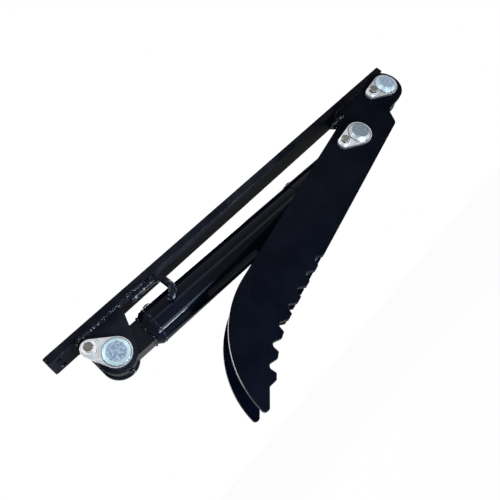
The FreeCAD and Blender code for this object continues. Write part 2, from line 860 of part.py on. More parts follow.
def cross_bar(label, middle, width, slope):
    """Flat bar between the thumb plates, its middle given from the pivot."""
    bar = doc.addObject("Part::Box", label)
    bar.setExpression("Length", as_size(width).formula)
    bar.setExpression("Width", size.thumb_gap.formula)
    bar.setExpression("Height", size.bar_thickness.formula)
    turn = Rotation(Vector(0, 1, 0), -slope)
    corner = turn.multVec(Vector(-as_size(width).value / 2, 0, -size.bar_thickness.value / 2))
    put(bar, pivot_x + (middle.x + corner.x), -size.thumb_gap / 2,
        pivot_z + (middle.y + corner.z), turn)
    return keep(label, bar)


def cross_bars():
    """Three cross bars that tie the thumb plates behind the toothed edge."""
    slope = size.front_angle.value
    offset = size.front_offset.value - size.bar_setback.value
    cross_bar("cross_bar_upper", edge_point(slope, size.upper_bar_place.value, offset),
              size.bar_width, slope)
    cross_bar("cross_bar_middle", edge_point(slope, size.middle_bar_place.value, offset),
              size.bar_width, slope)
    cross_bar("cross_bar_tip", front_point(size.tip_bar_place.value, size.tip_bar_setback.value),
              size.tip_bar_width, size.tip_bar_angle.value)


def crank_bosses():
    """Boss on the inside of each thumb plate, round the crank pin and beside the rod's eye."""
    for label, start, end in (("crank_boss_near", -plate_inner, -boss_inner),
                              ("crank_boss_far", boss_inner, plate_inner)):
        body = ring(label, start, end, pin_hole_radius, size.crank_boss_radius)
        keep(label, put(body, crank_x, 0, crank_z, X_TO_Y))


# Cylinder

def eye(name, neck_end, half_height):
    """Eye with a flat-sided neck that runs along X to its end, bored for its bush."""
    body = new_body(name)
    sketch = sketch_on(body, "XZ_Plane")
    radius = size.eye_radius.value
    half = half_height.value
    way = math.copysign(1, neck_end.value)
    meet = way * math.sqrt(radius ** 2 - half ** 2)
    top, bottom = Vector(meet, half, 0), Vector(meet, -half, 0)
    add_lines(sketch, top, point(neck_end, half), point(neck_end, -half), bottom)
    lean = math.degrees(math.acos(abs(meet) / radius))
    if way > 0:
        add_arc(sketch, point(0, 0), radius, lean, FULL_TURN - lean)
    else:
        add_arc(sketch, point(0, 0), radius, lean - 180, 180 - lean)
    add_circle(sketch, 0, 0, bush_bore_radius)
    pad(body, sketch, size.eye_width, midplane=True)
    return body


def base_eye():
    """Base eye with its bush and grease nipple."""
    keep("base_eye", on_cylinder(eye("base_eye", size.cap_start, size.neck_half_height)))
    bush = ring("base_eye_bush", -eye_side, eye_side, pin_hole_radius, bush_radius)
    keep("base_eye_bush", on_cylinder(bush, 0, X_TO_Y))
    nipple = grease_nipple("base_eye_nipple")
    angle = size.eye_nipple_angle
    put(nipple, cylinder_x + size.eye_radius * cosine(angle), 0,
        cylinder_z + size.eye_radius * sine(angle), Rotation(Vector(0, 1, 0), -angle.value))
    keep("base_eye_nipple", nipple)


def barrel():
    """Barrel tube, end cap and cylinder head, with a port on each end."""
    radius = size.barrel_radius
    fit = size.bore_radius - size.press_fit
    spigot_end = size.tube_start + size.cap_spigot
    start = size.cap_start
    cap = turned("end_cap", [(start, 0), (spigot_end, 0), (spigot_end, fit),
                             (size.tube_start, fit), (size.tube_start, radius),
                             (start + size.cap_bevel_run, radius),
                             (start, radius - size.cap_bevel)])
    keep("end_cap", on_cylinder(cap))
    tube = on_cylinder(ring("barrel_blank", size.tube_start, head_start,
                            size.bore_radius, radius))
    drills = port_drills("base_port", size.base_port_place, size.bore_radius, radius)
    keep("barrel_tube", cut("barrel_tube", tube, *drills))
    head = turned("head_blank", head_profile(fit))
    on_cylinder(head)
    rod_port_place = head_end - size.rod_port_setback
    drills = port_drills("rod_port", rod_port_place, size.rod_radius + size.drill_overrun,
                         size.head_radius_outside)
    keep("cylinder_head", cut("cylinder_head", head, *drills))
    port_boss("base_port", size.base_port_place, radius)
    port_boss("rod_port", rod_port_place, size.head_radius_outside)


def head_profile(fit):
    """Half section of the cylinder head with its rod seal and wiper grooves."""
    bore = size.rod_radius + size.rod_fit
    seal_start = head_end - size.seal_setback
    seal_end = seal_start + size.seal_width
    wiper_start = head_end - size.wiper_width
    inner_end = head_start - size.head_spigot
    outside = size.head_radius_outside
    bevel = size.head_chamfer
    return [(inner_end, bore), (seal_start, bore),
            (seal_start, bore + size.seal_depth), (seal_end, bore + size.seal_depth),
            (seal_end, bore), (wiper_start, bore), (wiper_start, bore + size.wiper_depth),
            (head_end, bore + size.wiper_depth), (head_end, outside - bevel),
            (head_end - bevel, outside), (head_start + bevel, outside),
            (head_start, outside - bevel), (head_start, fit), (inner_end, fit)]


def port_turn():
    """Rotation from +Z of a tool to the ports' direction round the barrel."""
    return Rotation(Vector(1, 0, 0), -size.port_angle.value)


def port_tool(name, place, radius, start, end):
    """Round tool across the barrel in the ports' direction, between two radii."""
    tool = rod_shape(name, radius, end - start)
    turn = ALONG_CYLINDER.multiply(port_turn())
    reach = turn.multVec(Vector(0, 0, 1))
    along = ALONG_CYLINDER.multVec(Vector(1, 0, 0))
    return put(tool, cylinder_x + place * along.x + start * reach.x, start * reach.y,
               cylinder_z + place * along.z + start * reach.z, turn)


def port_drills(name, place, inside, seat):
    """Oil passage under a port, and the flat that is spot-faced round it."""
    outside = seat + size.drill_overrun
    passage = port_tool(name + "_passage", place, size.port_drill_radius,
                        inside - size.drill_overrun, outside)
    flat = port_tool(name + "_flat", place, size.port_radius + size.spot_face_play,
                     seat - size.spot_face_depth, outside)
    return passage, flat


def port_boss(label, place, seat):
    """Threaded port boss welded on the barrel, saddled on its round."""
    top = seat + size.port_boss_height
    inside = size.bore_radius - size.drill_overrun
    block = port_tool(label + "_block", place, size.port_boss_radius, inside, top)
    bore = port_tool(label + "_bore", place, size.port_radius, inside,
                     top + size.drill_overrun)
    saddle = rod_shape(label + "_saddle", seat + size.press_fit, head_end)
    on_cylinder(saddle, 0, Rotation(Vector(0, 1, 0), 90))
    keep(label, cut(label, block, bore, saddle))


def seals():
    """Rod seal and wiper in the cylinder head."""
    bore = size.rod_radius + size.rod_fit
    gap = size.seal_side_gap
    seal_start = head_end - size.seal_setback
    seal = ring("rod_seal", seal_start + gap, seal_start + size.seal_width - gap, bore,
                bore + size.seal_depth - size.press_fit)
    keep("rod_seal", on_cylinder(seal))
    start = head_end - size.wiper_width + gap
    lip = head_end + size.wiper_lip
    wide = bore + size.wiper_depth - size.press_fit
    wiper = turned("rod_wiper", [(start, bore), (lip, bore), (lip, bore + size.wiper_lip_wall),
                                 (head_end, wide), (start, wide)])
    keep("rod_wiper", on_cylinder(wiper))


def rod():
    """Piston rod with its piston, seal, nut, eye, bush, nipple and the middle of the pin."""
    tail = size.rod_tail_radius
    neck_end = cylinder_closed - size.rod_eye_neck
    bar = turned("piston_rod", [(size.rod_tail_start, 0), (neck_end, 0),
                                (neck_end, size.rod_radius),
                                (size.piston_end, size.rod_radius), (size.piston_end, tail),
                                (size.rod_tail_start, tail)])
    keep("piston_rod", on_cylinder(bar))
    bore = tail + size.press_fit
    wide = size.bore_radius - size.slide_fit
    groove = wide - size.piston_groove_depth
    groove_end = size.piston_groove_start + size.piston_groove_width
    piston = turned("piston", [(size.piston_start, bore), (size.piston_end, bore),
                               (size.piston_end, wide), (groove_end, wide),
                               (groove_end, groove), (size.piston_groove_start, groove),
                               (size.piston_groove_start, wide), (size.piston_start, wide)])
    keep("piston", on_cylinder(piston))
    gap = size.seal_side_gap
    seal = ring("piston_seal", size.piston_groove_start + gap, groove_end - gap,
                groove + size.press_fit, size.bore_radius - size.slide_fit / 2)
    keep("piston_seal", on_cylinder(seal))
    nut = doc.addObject("Part::Prism", "nut_hexagon")
    nut.Polygon = 6
    nut.setExpression("Circumradius", size.nut_radius.formula)
    nut.setExpression("Height", (size.piston_start - size.rod_tail_start).formula)
    on_cylinder(nut, size.rod_tail_start, Rotation(Vector(0, 1, 0), 90))
    hole = rod_shape("nut_hole", bore, size.tube_start + size.piston_start)
    on_cylinder(hole, 0, Rotation(Vector(0, 1, 0), 90))
    keep("piston_nut", cut("piston_nut", nut, hole))
    end = eye("rod_eye", -size.rod_eye_neck, size.rod_eye_neck_half_height)
    keep("rod_eye", on_cylinder(end, cylinder_closed))
    bush = ring("rod_eye_bush", -eye_side, eye_side, pin_hole_radius, bush_radius)
    keep("rod_eye_bush", on_cylinder(bush, cylinder_closed, X_TO_Y))
    core = ring_core("crank_pin_core", eye_side)
    keep("crank_pin_core", on_cylinder(core, cylinder_closed, X_TO_Y))
    nipple = grease_nipple("rod_eye_nipple")
    put(nipple, crank_x, 0, crank_z - size.eye_radius, Rotation(Vector(0, 1, 0), 90))
    keep("rod_eye_nipple", nipple)


def ring_core(name, half):
    """Plain round piece along X, as long as the eye is wide."""
    return turned(name, [(-half, 0), (half, 0), (half, size.pin_radius),
                         (-half, size.pin_radius)])


base_plate()
base_lugs()
pivot_tube()
hose_guide()
cylinder_pin()
thumb_plates()
cross_bars()
crank_bosses()
thumb_pins()
base_eye()
barrel()
seals()
rod()
doc.recompute()

# Every object and every piece is tested before anything is written
for item in doc.Objects:
    bad = {"Invalid", "Error"} & set(item.State)
    if bad:
        raise RuntimeError(f"{item.Name} is {bad}")
for node in nodes:
    if node.Shape.isNull() or not node.Shape.isValid():
        raise RuntimeError(f"{node.Label} has no valid shape")
for node in nodes:
    node.Shape.exportStep(f"parts/{node.Label}.step")
    box = node.Shape.BoundBox
    print(f"{node.Label}: {len(node.Shape.Solids)} solids, {node.Shape.Volume:.0f} mm3, "
          f"x {box.XMin:.1f} {box.XMax:.1f}, y {box.YMin:.1f} {box.YMax:.1f}, "
          f"z {box.ZMin:.1f} {box.ZMax:.1f}")
print(f"{len(nodes)} nodes, closed length {cylinder_closed.value:.2f}, tilt {cylinder_tilt:.3f}")
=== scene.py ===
import json
import logging
import math
import random
from dataclasses import dataclass
from enum import Enum
from typing import Iterable, Sequence

import bpy
from mathutils import Matrix, Vector


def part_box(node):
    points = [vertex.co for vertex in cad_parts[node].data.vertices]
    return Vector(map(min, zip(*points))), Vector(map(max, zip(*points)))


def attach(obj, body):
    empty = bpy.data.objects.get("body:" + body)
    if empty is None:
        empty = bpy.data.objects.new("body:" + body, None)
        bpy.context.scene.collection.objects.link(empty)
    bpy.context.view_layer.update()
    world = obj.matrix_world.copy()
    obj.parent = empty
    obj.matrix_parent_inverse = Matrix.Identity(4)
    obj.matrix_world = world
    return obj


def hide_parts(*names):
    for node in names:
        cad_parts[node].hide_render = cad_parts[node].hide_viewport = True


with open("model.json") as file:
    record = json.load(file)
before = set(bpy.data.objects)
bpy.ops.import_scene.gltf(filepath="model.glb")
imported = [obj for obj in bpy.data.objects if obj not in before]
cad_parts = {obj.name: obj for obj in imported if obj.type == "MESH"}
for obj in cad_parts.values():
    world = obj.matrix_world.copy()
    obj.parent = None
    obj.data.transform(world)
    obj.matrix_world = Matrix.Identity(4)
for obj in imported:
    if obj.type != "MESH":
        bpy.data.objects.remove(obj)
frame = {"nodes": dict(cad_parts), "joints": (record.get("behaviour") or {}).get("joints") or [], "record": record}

# A hydraulic thumb in black gloss paint with bright zinc flags, dressed round its frame.
# Lengths are metres. +X runs along the base bar to the thumb's pivot, the flags are at -Y.

LOG = logging.getLogger("hydraulic_thumb")
MM = 0.001
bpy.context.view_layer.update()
JOINTS = {joint["name"]: joint for joint in frame["joints"]}
MOUNTS = {mount["name"]: mount for mount in frame["record"]["mounts"]}
X_AXIS = Vector((1, 0, 0))
Y_AXIS = Vector((0, 1, 0))
Z_AXIS = Vector((0, 0, 1))
NOISE_ROUGHNESS = 0.55

Triple = tuple[float, float, float]
Colour = Triple
Piece = bpy.types.Object


class Body(Enum):
    """The rigid bodies of the thumb."""

    BASE = "base"
    THUMB = "thumb"
    BARREL = "barrel"
    ROD = "rod"


def joint_place(name: str) -> Vector:
    """Return the place of a hinge of the frame."""
    return Vector(JOINTS[name]["pos_m"])


def box_centre(node: str) -> Vector:
    """Return the centre of a node's box."""
    low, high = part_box(node)
    return (low + high) / 2


PIVOT = joint_place("thumb_swing")
CYLINDER_PIN = joint_place("cylinder_swing")
ALONG_CYLINDER = Vector(JOINTS["rod_slide"]["axis"]).normalized()


# Shader maths

@dataclass(frozen=True)
class Value:
    """An output socket that can be used in Python expressions, and the tree it belongs to."""

    tree: "Tree"
    socket: bpy.types.NodeSocket | None

    def maths(self, operation: str, first: object, second: object) -> "Value":
        """Return the result of one Math node."""
        return self.tree.node("ShaderNodeMath", {"operation": operation}, {0: first, 1: second})

    def __add__(self, other: "Value | float") -> "Value":
        """Return self plus other."""
        return self.maths("ADD", self, other)

    def __radd__(self, other: float) -> "Value":
        """Return other plus self."""
        return self.maths("ADD", other, self)

    def __sub__(self, other: "Value | float") -> "Value":
        """Return self minus other."""
        return self.maths("SUBTRACT", self, other)

    def __rsub__(self, other: float) -> "Value":
        """Return other minus self."""
        return self.maths("SUBTRACT", other, self)

    def __mul__(self, other: "Value | float") -> "Value":
        """Return self times other."""
        return self.maths("MULTIPLY", self, other)

    def __rmul__(self, other: float) -> "Value":
        """Return other times self."""
        return self.maths("MULTIPLY", other, self)

    def __abs__(self) -> "Value":
        """Return the size of self without its sign."""
        return self.maths("ABSOLUTE", self, 0.0)

    def between(self, low: float, high: float) -> "Value":
        """Return a smooth step, which is 0 at low and 1 at high."""
        return self.tree.node("ShaderNodeMapRange", {"interpolation_type": "SMOOTHSTEP"},
                              {"Value": self, "From Min": low, "From Max": high})


@dataclass(frozen=True)
class Pattern:
    """A noise pattern, with the values between which its mask rises from 0 to 1."""

    per_metre: float
    detail: float
    edges: tuple[float, float] = (0.0, 1.0)


class Tree:
    """The node tree of one material or of the world."""

    def __init__(self, owner: bpy.types.Material | bpy.types.World) -> None:
        """Start the tree of an owner that uses nodes.

        Args:
            owner: the material or world.
        """
        owner.use_nodes = True
        self.owner = owner
        self.tree = owner.node_tree

    def clear(self) -> None:
        """Remove every node."""
        self.tree.nodes.clear()

    def feed(self, socket: bpy.types.NodeSocket, value: object) -> None:
        """Link a value to a socket, or set the socket's own value.

        Args:
            socket: the input socket.
            value: a wrapped output, or a plain number, colour or vector.
        """
        if isinstance(value, Value):
            self.tree.links.new(value.socket, socket)
        elif socket.type == "RGBA" and len(value) == 3:
            socket.default_value = (*value, 1.0)
        else:
            socket.default_value = value

    def node(self, kind: str, settings: dict[str, object] | None = None,
             inputs: dict[str | int, object] | None = None, output: str | int = 0) -> Value:
        """Make a node.

        Args:
            kind: the node's type.
            settings: attributes that are set before the inputs.
            inputs: values or links by socket name or number.
            output: the output that is returned.

        Returns:
            The wrapped output.
        """
        made = self.tree.nodes.new(kind)
        for name, value in (settings or {}).items():
            setattr(made, name, value)
        for name, value in (inputs or {}).items():
            self.feed(made.inputs[name], value)
        return Value(self, made.outputs[output] if made.outputs else None)

    def mix(self, factor: object, first: object, second: object) -> Value:
        """Return a colour between two colours."""
        return self.node("ShaderNodeMix", {"data_type": "RGBA"},
                         {0: factor, 6: first, 7: second}, 2)

    def place(self, centre: Vector | None = None, scale: Sequence[float] = (1, 1, 1)) -> Value:
        """Return object coordinates, moved to a centre and scaled.

        Args:
            centre: the point that becomes the origin.
            scale: the factor along each axis.

        Returns:
            The coordinates as a vector.
        """
        coordinates = self.node("ShaderNodeTexCoord", output="Object")
        centre = centre or Vector()
        shift = [-part * factor for part, factor in zip(centre, scale)]
        return self.node("ShaderNodeMapping", None,
                         {"Vector": coordinates, "Location": shift, "Scale": tuple(scale)})

    def noise(self, pattern: Pattern, vector: Value | None = None) -> Value:
        """Return a pattern's noise.

        Args:
            pattern: the noise's size and detail.
            vector: coordinates, by default the object's own.

        Returns:
            The noise value, from 0 to 1.
        """
        return self.node("ShaderNodeTexNoise", None,
                         {"Vector": vector or self.place(), "Scale": pattern.per_metre,
                          "Detail": pattern.detail, "Roughness": NOISE_ROUGHNESS}, "Fac")

    def mask(self, pattern: Pattern, vector: Value | None = None) -> Value:
        """Return the spots of a pattern as a mask from 0 to 1."""
        return self.noise(pattern, vector).between(*pattern.edges)

    def bump(self, height: Value, depth: float) -> Value:
        """Return a normal that is bent by a height, a height of 1 being a depth in metres."""
        return self.node("ShaderNodeBump", None,
                         {"Height": height, "Distance": depth, "Strength": 1.0}, "Normal")

    def sideways(self) -> Value:
        """Return how squarely the surface faces along Y, from 0 to 1."""
        normal = self.node("ShaderNodeTexCoord", output="Normal")
        return abs(self.node("ShaderNodeSeparateXYZ", None, {0: normal}, "Y"))

    def seen(self) -> Value:
        """Tell the rays apart that show a surface from those that light it.

        Returns:
            1 for rays from the camera or from a shiny or clear surface, otherwise 0.
        """
        camera, glossy, clear = (self.node("ShaderNodeLightPath", output=f"Is {kind} Ray")
                                 for kind in ("Camera", "Glossy", "Transmission"))
        return (camera + glossy + clear).between(0.0, 1.0)


# Finishes

Surface = tuple[Value, Value, Value]


@dataclass(frozen=True)
class Finish:
    """A finish with one principled shader."""

    name: str
    slot: str

    def constants(self) -> dict[str, float]:
        """Return the values that are the same all over, by socket name."""
        return {"Metallic": 1.0}

    def surface(self, tree: Tree) -> Surface:
        """Return the colour, roughness and normal; each finish has its own."""
        raise NotImplementedError

    def make(self) -> bpy.types.Material:
        """Make the material.

        Returns:
            The material, its principled shader fed.
        """
        tree = Tree(bpy.data.materials.new(self.name))
        shader = next(node for node in tree.tree.nodes if node.type == "BSDF_PRINCIPLED")
        values = dict(zip(("Base Color", "Roughness", "Normal"), self.surface(tree)))
        for name, value in {**self.constants(), **values}.items():
            tree.feed(shader.inputs[name], value)
        return tree.owner


@dataclass(frozen=True)
class GlossPaint(Finish):
    """Near-black gloss enamel with orange peel, dust specks and faint scuffs, and glints painted as highlights on
    rounded edges and weld lumps.
    """

    slot: str = "black_paint"
    dark: Colour = (0.0012, 0.0018, 0.0052)
    light: Colour = (0.0030, 0.0042, 0.0095)
    dust: Colour = (0.06, 0.065, 0.08)
    gloss: float = 0.03
    roughness: float = 0.2
    # glint is the colour of the painted highlights on rounded edges and on weld lumps.
    glint: Colour = (0.22, 0.24, 0.29)
    edge_glints: float = 0.0
    peel_height: float = 0.5
    cut_edges: bool = False
    lumpy: bool = False

    CLOUDS = Pattern(22, 4, (0.3, 0.7))
    PEEL = Pattern(650, 2)
    WAVES = Pattern(90, 2)
    SPECKS = Pattern(1500, 1, (0.745, 0.79))
    DUSTY_AREAS = Pattern(35, 2, (0.5, 0.7))
    SCUFFS = Pattern(240, 5, (0.66, 0.74))
    EDGE_GLINT_SPOTS = Pattern(170, 4, (0.5, 0.68))
    LUMPS = Pattern(420, 4)
    GLINT_FLECKS = Pattern(520, 3, (0.58, 0.66))
    DRAG_LINES = Pattern(520, 3)
    SCUFF_STRETCH = (1.0, 0.3, 1.6)
    DRAG_STRETCH = (1.0, 0.04, 1.0)
    SCUFF_SHOW, SPECK_SHOW, FLECK_SHOW = 0.12, 0.55, 0.8
    CLOUD_ROUGH, SCUFF_ROUGH, SPECK_ROUGH = 0.08, 0.2, 0.3
    WAVE_HEIGHT, LUMP_HEIGHT, DRAG_HEIGHT = 2.0, 6.0, 16.0
    HEIGHT_UNIT = 0.03 * MM
    RIM_START, RIM_END, CUT_END = (0.12, 0.3), (0.88, 0.97), (0.4, 0.8)

    def constants(self) -> dict[str, float]:
        """Return the strength of the paint's reflections."""
        return {"Specular IOR Level": self.gloss}

    def surface(self, tree: Tree) -> Surface:
        """Work out the paint's surface.

        Args:
            tree: the material's tree.

        Returns:
            The colour, roughness and normal.
        """
        cloud = tree.noise(self.CLOUDS)
        speck = tree.mask(self.SPECKS) * tree.mask(self.DUSTY_AREAS)
        scuff = tree.mask(self.SCUFFS, tree.place(scale=self.SCUFF_STRETCH))
        colour = tree.mix(cloud.between(*self.CLOUDS.edges), self.dark, self.light)
        colour = tree.mix(scuff * self.SCUFF_SHOW, colour, self.dust)
        colour = tree.mix(speck * self.SPECK_SHOW, colour, self.dust)
        height = (tree.noise(self.PEEL) * self.peel_height
                  + tree.noise(self.WAVES) * self.WAVE_HEIGHT)
        # Painted highlight: glints in the glint colour, in patches, on the rounding between a piece's side and its
        # edge faces.
        if self.edge_glints:
            side = tree.sideways()
            rim_highlight = side.between(*self.RIM_START) * (1 - side.between(*self.RIM_END))
            painted_light_edge = rim_highlight * tree.mask(self.EDGE_GLINT_SPOTS) * self.edge_glints
            colour = tree.mix(painted_light_edge, colour, self.glint)
        if self.lumpy:
            height = height + tree.noise(self.LUMPS) * self.LUMP_HEIGHT
            # Painted highlight: bright flecks in the glint colour on the weld lumps.
            glint_fleck = tree.mask(self.GLINT_FLECKS) * self.FLECK_SHOW
            colour = tree.mix(glint_fleck, colour, self.glint)
        if self.cut_edges:
            drag = tree.noise(self.DRAG_LINES, tree.place(scale=self.DRAG_STRETCH))
            cut = 1 - tree.sideways().between(*self.CUT_END)
            height = height + cut * drag * self.DRAG_HEIGHT
        rough = (self.roughness + self.CLOUD_ROUGH * cloud + self.SCUFF_ROUGH * scuff
                 + self.SPECK_ROUGH * speck)
        return colour, rough, tree.bump(height, self.HEIGHT_UNIT)


@dataclass(frozen=True)
class ZincPlate(Finish):
    """Bright zinc plate, lilac and blue in blotches, with a fine rolled grain and a painted highlight along its
    edges.
    """

    slot: str = "zinc_plate"
    warm: Colour = (0.36, 0.355, 0.37)
    cool: Colour = (0.31, 0.35, 0.395)
    pale: Colour = (0.52, 0.54, 0.58)
    rim_highlight: Colour = (0.90, 0.93, 0.95)
    pitted: Colour = (0.16, 0.16, 0.18)
    roughness: float = 0.34

    BLOTCHES = Pattern(70, 4, (0.35, 0.65))
    PALE_SPOTS = Pattern(260, 4, (0.45, 0.75))
    PITS = Pattern(1400, 2, (0.7, 0.78))
    ROLLED_GRAIN = Pattern(900, 3)
    FINE_GRAIN = Pattern(2200, 2)
    GRAIN_STRETCH = (1.0, 1.0, 0.12)
    GRAIN_HEIGHT = 0.012 * MM
    PALE_SHOW, PIT_SHOW = 0.7, 0.4
    BLOTCH_ROUGH, PIT_ROUGH = 0.14, 0.12
    RIM_HIGHLIGHT_FACING = (0.98, 0.80)

    def surface(self, tree: Tree) -> Surface:
        """Work out the plate's surface.

        Args:
            tree: the material's tree.

        Returns:
            The colour, roughness and normal.
        """
        blotch = tree.noise(self.BLOTCHES)
        pit = tree.mask(self.PITS)
        colour = tree.mix(blotch.between(*self.BLOTCHES.edges), self.warm, self.cool)
        colour = tree.mix(tree.mask(self.PALE_SPOTS) * self.PALE_SHOW, colour, self.pale)
        colour = tree.mix(pit * self.PIT_SHOW, colour, self.pitted)
        # Painted highlight: the edges, which face away from Y, are painted in the bright rim colour.
        colour = tree.mix(tree.sideways().between(*self.RIM_HIGHLIGHT_FACING), colour, self.rim_highlight)
        rough = self.roughness + self.BLOTCH_ROUGH * (blotch - 0.5) + self.PIT_ROUGH * pit
        grain = tree.noise(self.ROLLED_GRAIN, tree.place(scale=self.GRAIN_STRETCH))
        grain = grain + tree.noise(self.FINE_GRAIN)
        return colour, rough, tree.bump(grain, self.GRAIN_HEIGHT)


@dataclass(frozen=True)
class TurnedPin(Finish):
    """Zinc-plated pin end: a mottled grey-blue face inside a bevel painted bright as a highlight, with painted
    shadow in the gap at its edge.
    """

    slot: str = "machined_steel"
    centre: Triple = (0.0, 0.0, 0.0)
    face: Colour = (0.12, 0.17, 0.24)
    face_pale: Colour = (0.30, 0.37, 0.46)
    # The bevel colour below is a painted highlight on the chamfer.
    bevel: Colour = (0.34, 0.47, 0.51)
    stain: Colour = (0.16, 0.2, 0.27)
    # The colour below is painted shadow in the gap round the pin's end.
    gap_shade: Colour = (0.02, 0.028, 0.034)
    bevel_radii: tuple[float, float] = (11.9 * MM, 12.7 * MM)
    seam_radii: tuple[float, float] = (15.7 * MM, 16.6 * MM)
    unevenness: float = 2.4 * MM
    grooves_per_metre: float = 1500.0
    roughness: float = 0.42

    WEAR = Pattern(260, 3)
    MOTTLES = Pattern(330, 4, (0.38, 0.66))
    STAINS = Pattern(900, 2, (0.66, 0.74))
    BEVEL_CLOUDS = Pattern(160, 3)
    SEAM_SHADE = Pattern(420, 3, (0.4, 0.6))
    GRAIN = Pattern(500, 3)
    STAIN_SHOW, CLOUD_SHOW, DIRT_SHOW = 0.6, 0.4, 0.85
    RIM_SHINE, MOTTLE_ROUGH = 0.06, 0.1
    GROOVE_HEIGHT, GRAIN_HEIGHT = 0.4, 1.5
    HEIGHT_UNIT = 0.02 * MM

    def surface(self, tree: Tree) -> Surface:
        """Work out the pin end's surface.

        Args:
            tree: the material's tree.

        Returns:
            The colour, roughness and normal.
        """
        flat = tree.place(Vector(self.centre), (1.0, 0.0, 1.0))
        radius = tree.node("ShaderNodeVectorMath", {"operation": "LENGTH"}, {0: flat}, "Value")
        # The radius is made uneven, so that the edges of the painted highlight and painted shadow wander.
        painted_light_edge = radius + (tree.noise(self.WEAR) - 0.5) * self.unevenness
        # Painted highlight: the bevel ring is painted brighter than the face.
        rim_highlight = painted_light_edge.between(*self.bevel_radii)
        mottle = tree.mask(self.MOTTLES)
        face = tree.mix(mottle, self.face, self.face_pale)
        face = tree.mix(tree.mask(self.STAINS) * self.STAIN_SHOW, face, self.stain)
        cloud = tree.noise(self.BEVEL_CLOUDS) * self.CLOUD_SHOW
        bevel = tree.mix(cloud, self.bevel, self.face_pale)
        # Painted shadow: a dark ring, in patches, at the pin's outer edge, where the gap to its flag lies in
        # shade.
        gap_shade = painted_light_edge.between(*self.seam_radii) * tree.mask(self.SEAM_SHADE)
        bevel = tree.mix(gap_shade * self.DIRT_SHOW, bevel, self.gap_shade)
        groove = tree.node("ShaderNodeMath", {"operation": "SINE"},
                           {0: radius * (self.grooves_per_metre * 2 * math.pi)})
        height = groove * self.GROOVE_HEIGHT + tree.noise(self.GRAIN) * self.GRAIN_HEIGHT
        rough = self.roughness - self.RIM_SHINE * rim_highlight + self.MOTTLE_ROUGH * mottle
        return tree.mix(rim_highlight, face, bevel), rough, tree.bump(height, self.HEIGHT_UNIT)


@dataclass(frozen=True)
class PlainMetal(Finish):
    """A metal of one colour with soft stains and a fine grain."""

    colour: Colour
    stain: Colour
    roughness: float = 0.38
    grain_per_metre: float = 700.0
    grain_stretch: Triple = (1.0, 1.0, 1.0)
    grain_height: float = 0.01 * MM

    STAINS = Pattern(180, 4, (0.4, 0.7))
    GRAIN_DETAIL = 3
    STAIN_SHOW, STAIN_ROUGH = 0.6, 0.1

    def surface(self, tree: Tree) -> Surface:
        """Work out the metal's surface.

        Args:
            tree: the material's tree.

        Returns:
            The colour, roughness and normal.
        """
        stain = tree.mask(self.STAINS)
        grain = tree.noise(Pattern(self.grain_per_metre, self.GRAIN_DETAIL),
                           tree.place(scale=self.grain_stretch))
        colour = tree.mix(stain * self.STAIN_SHOW, self.colour, self.stain)
        rough = self.roughness + self.STAIN_ROUGH * stain
        return colour, rough, tree.bump(grain, self.grain_height)


@dataclass(frozen=True)
class SealRubber(Finish):
    """Dull black rubber."""

    slot: str = "seal_rubber"
    clean: Colour = (0.012, 0.012, 0.013)
    dusty: Colour = (0.03, 0.03, 0.032)
    gloss: float = 0.3
    roughness: float = 0.55

    DUST = Pattern(300, 4, (0.45, 0.7))
    GRAIN = Pattern(1200, 2)
    GRAIN_HEIGHT = 0.02 * MM
    DUST_ROUGH = 0.2

    def constants(self) -> dict[str, float]:
        """Return the strength of the rubber's reflections."""
        return {"Specular IOR Level": self.gloss}

    def surface(self, tree: Tree) -> Surface:
        """Work out the rubber's surface.

        Args:
            tree: the material's tree.

        Returns:
            The colour, roughness and normal.
        """
        dust = tree.mask(self.DUST)
        rough = self.roughness + self.DUST_ROUGH * dust
        normal = tree.bump(tree.noise(self.GRAIN), self.GRAIN_HEIGHT)
        return tree.mix(dust, self.clean, self.dusty), rough, normal


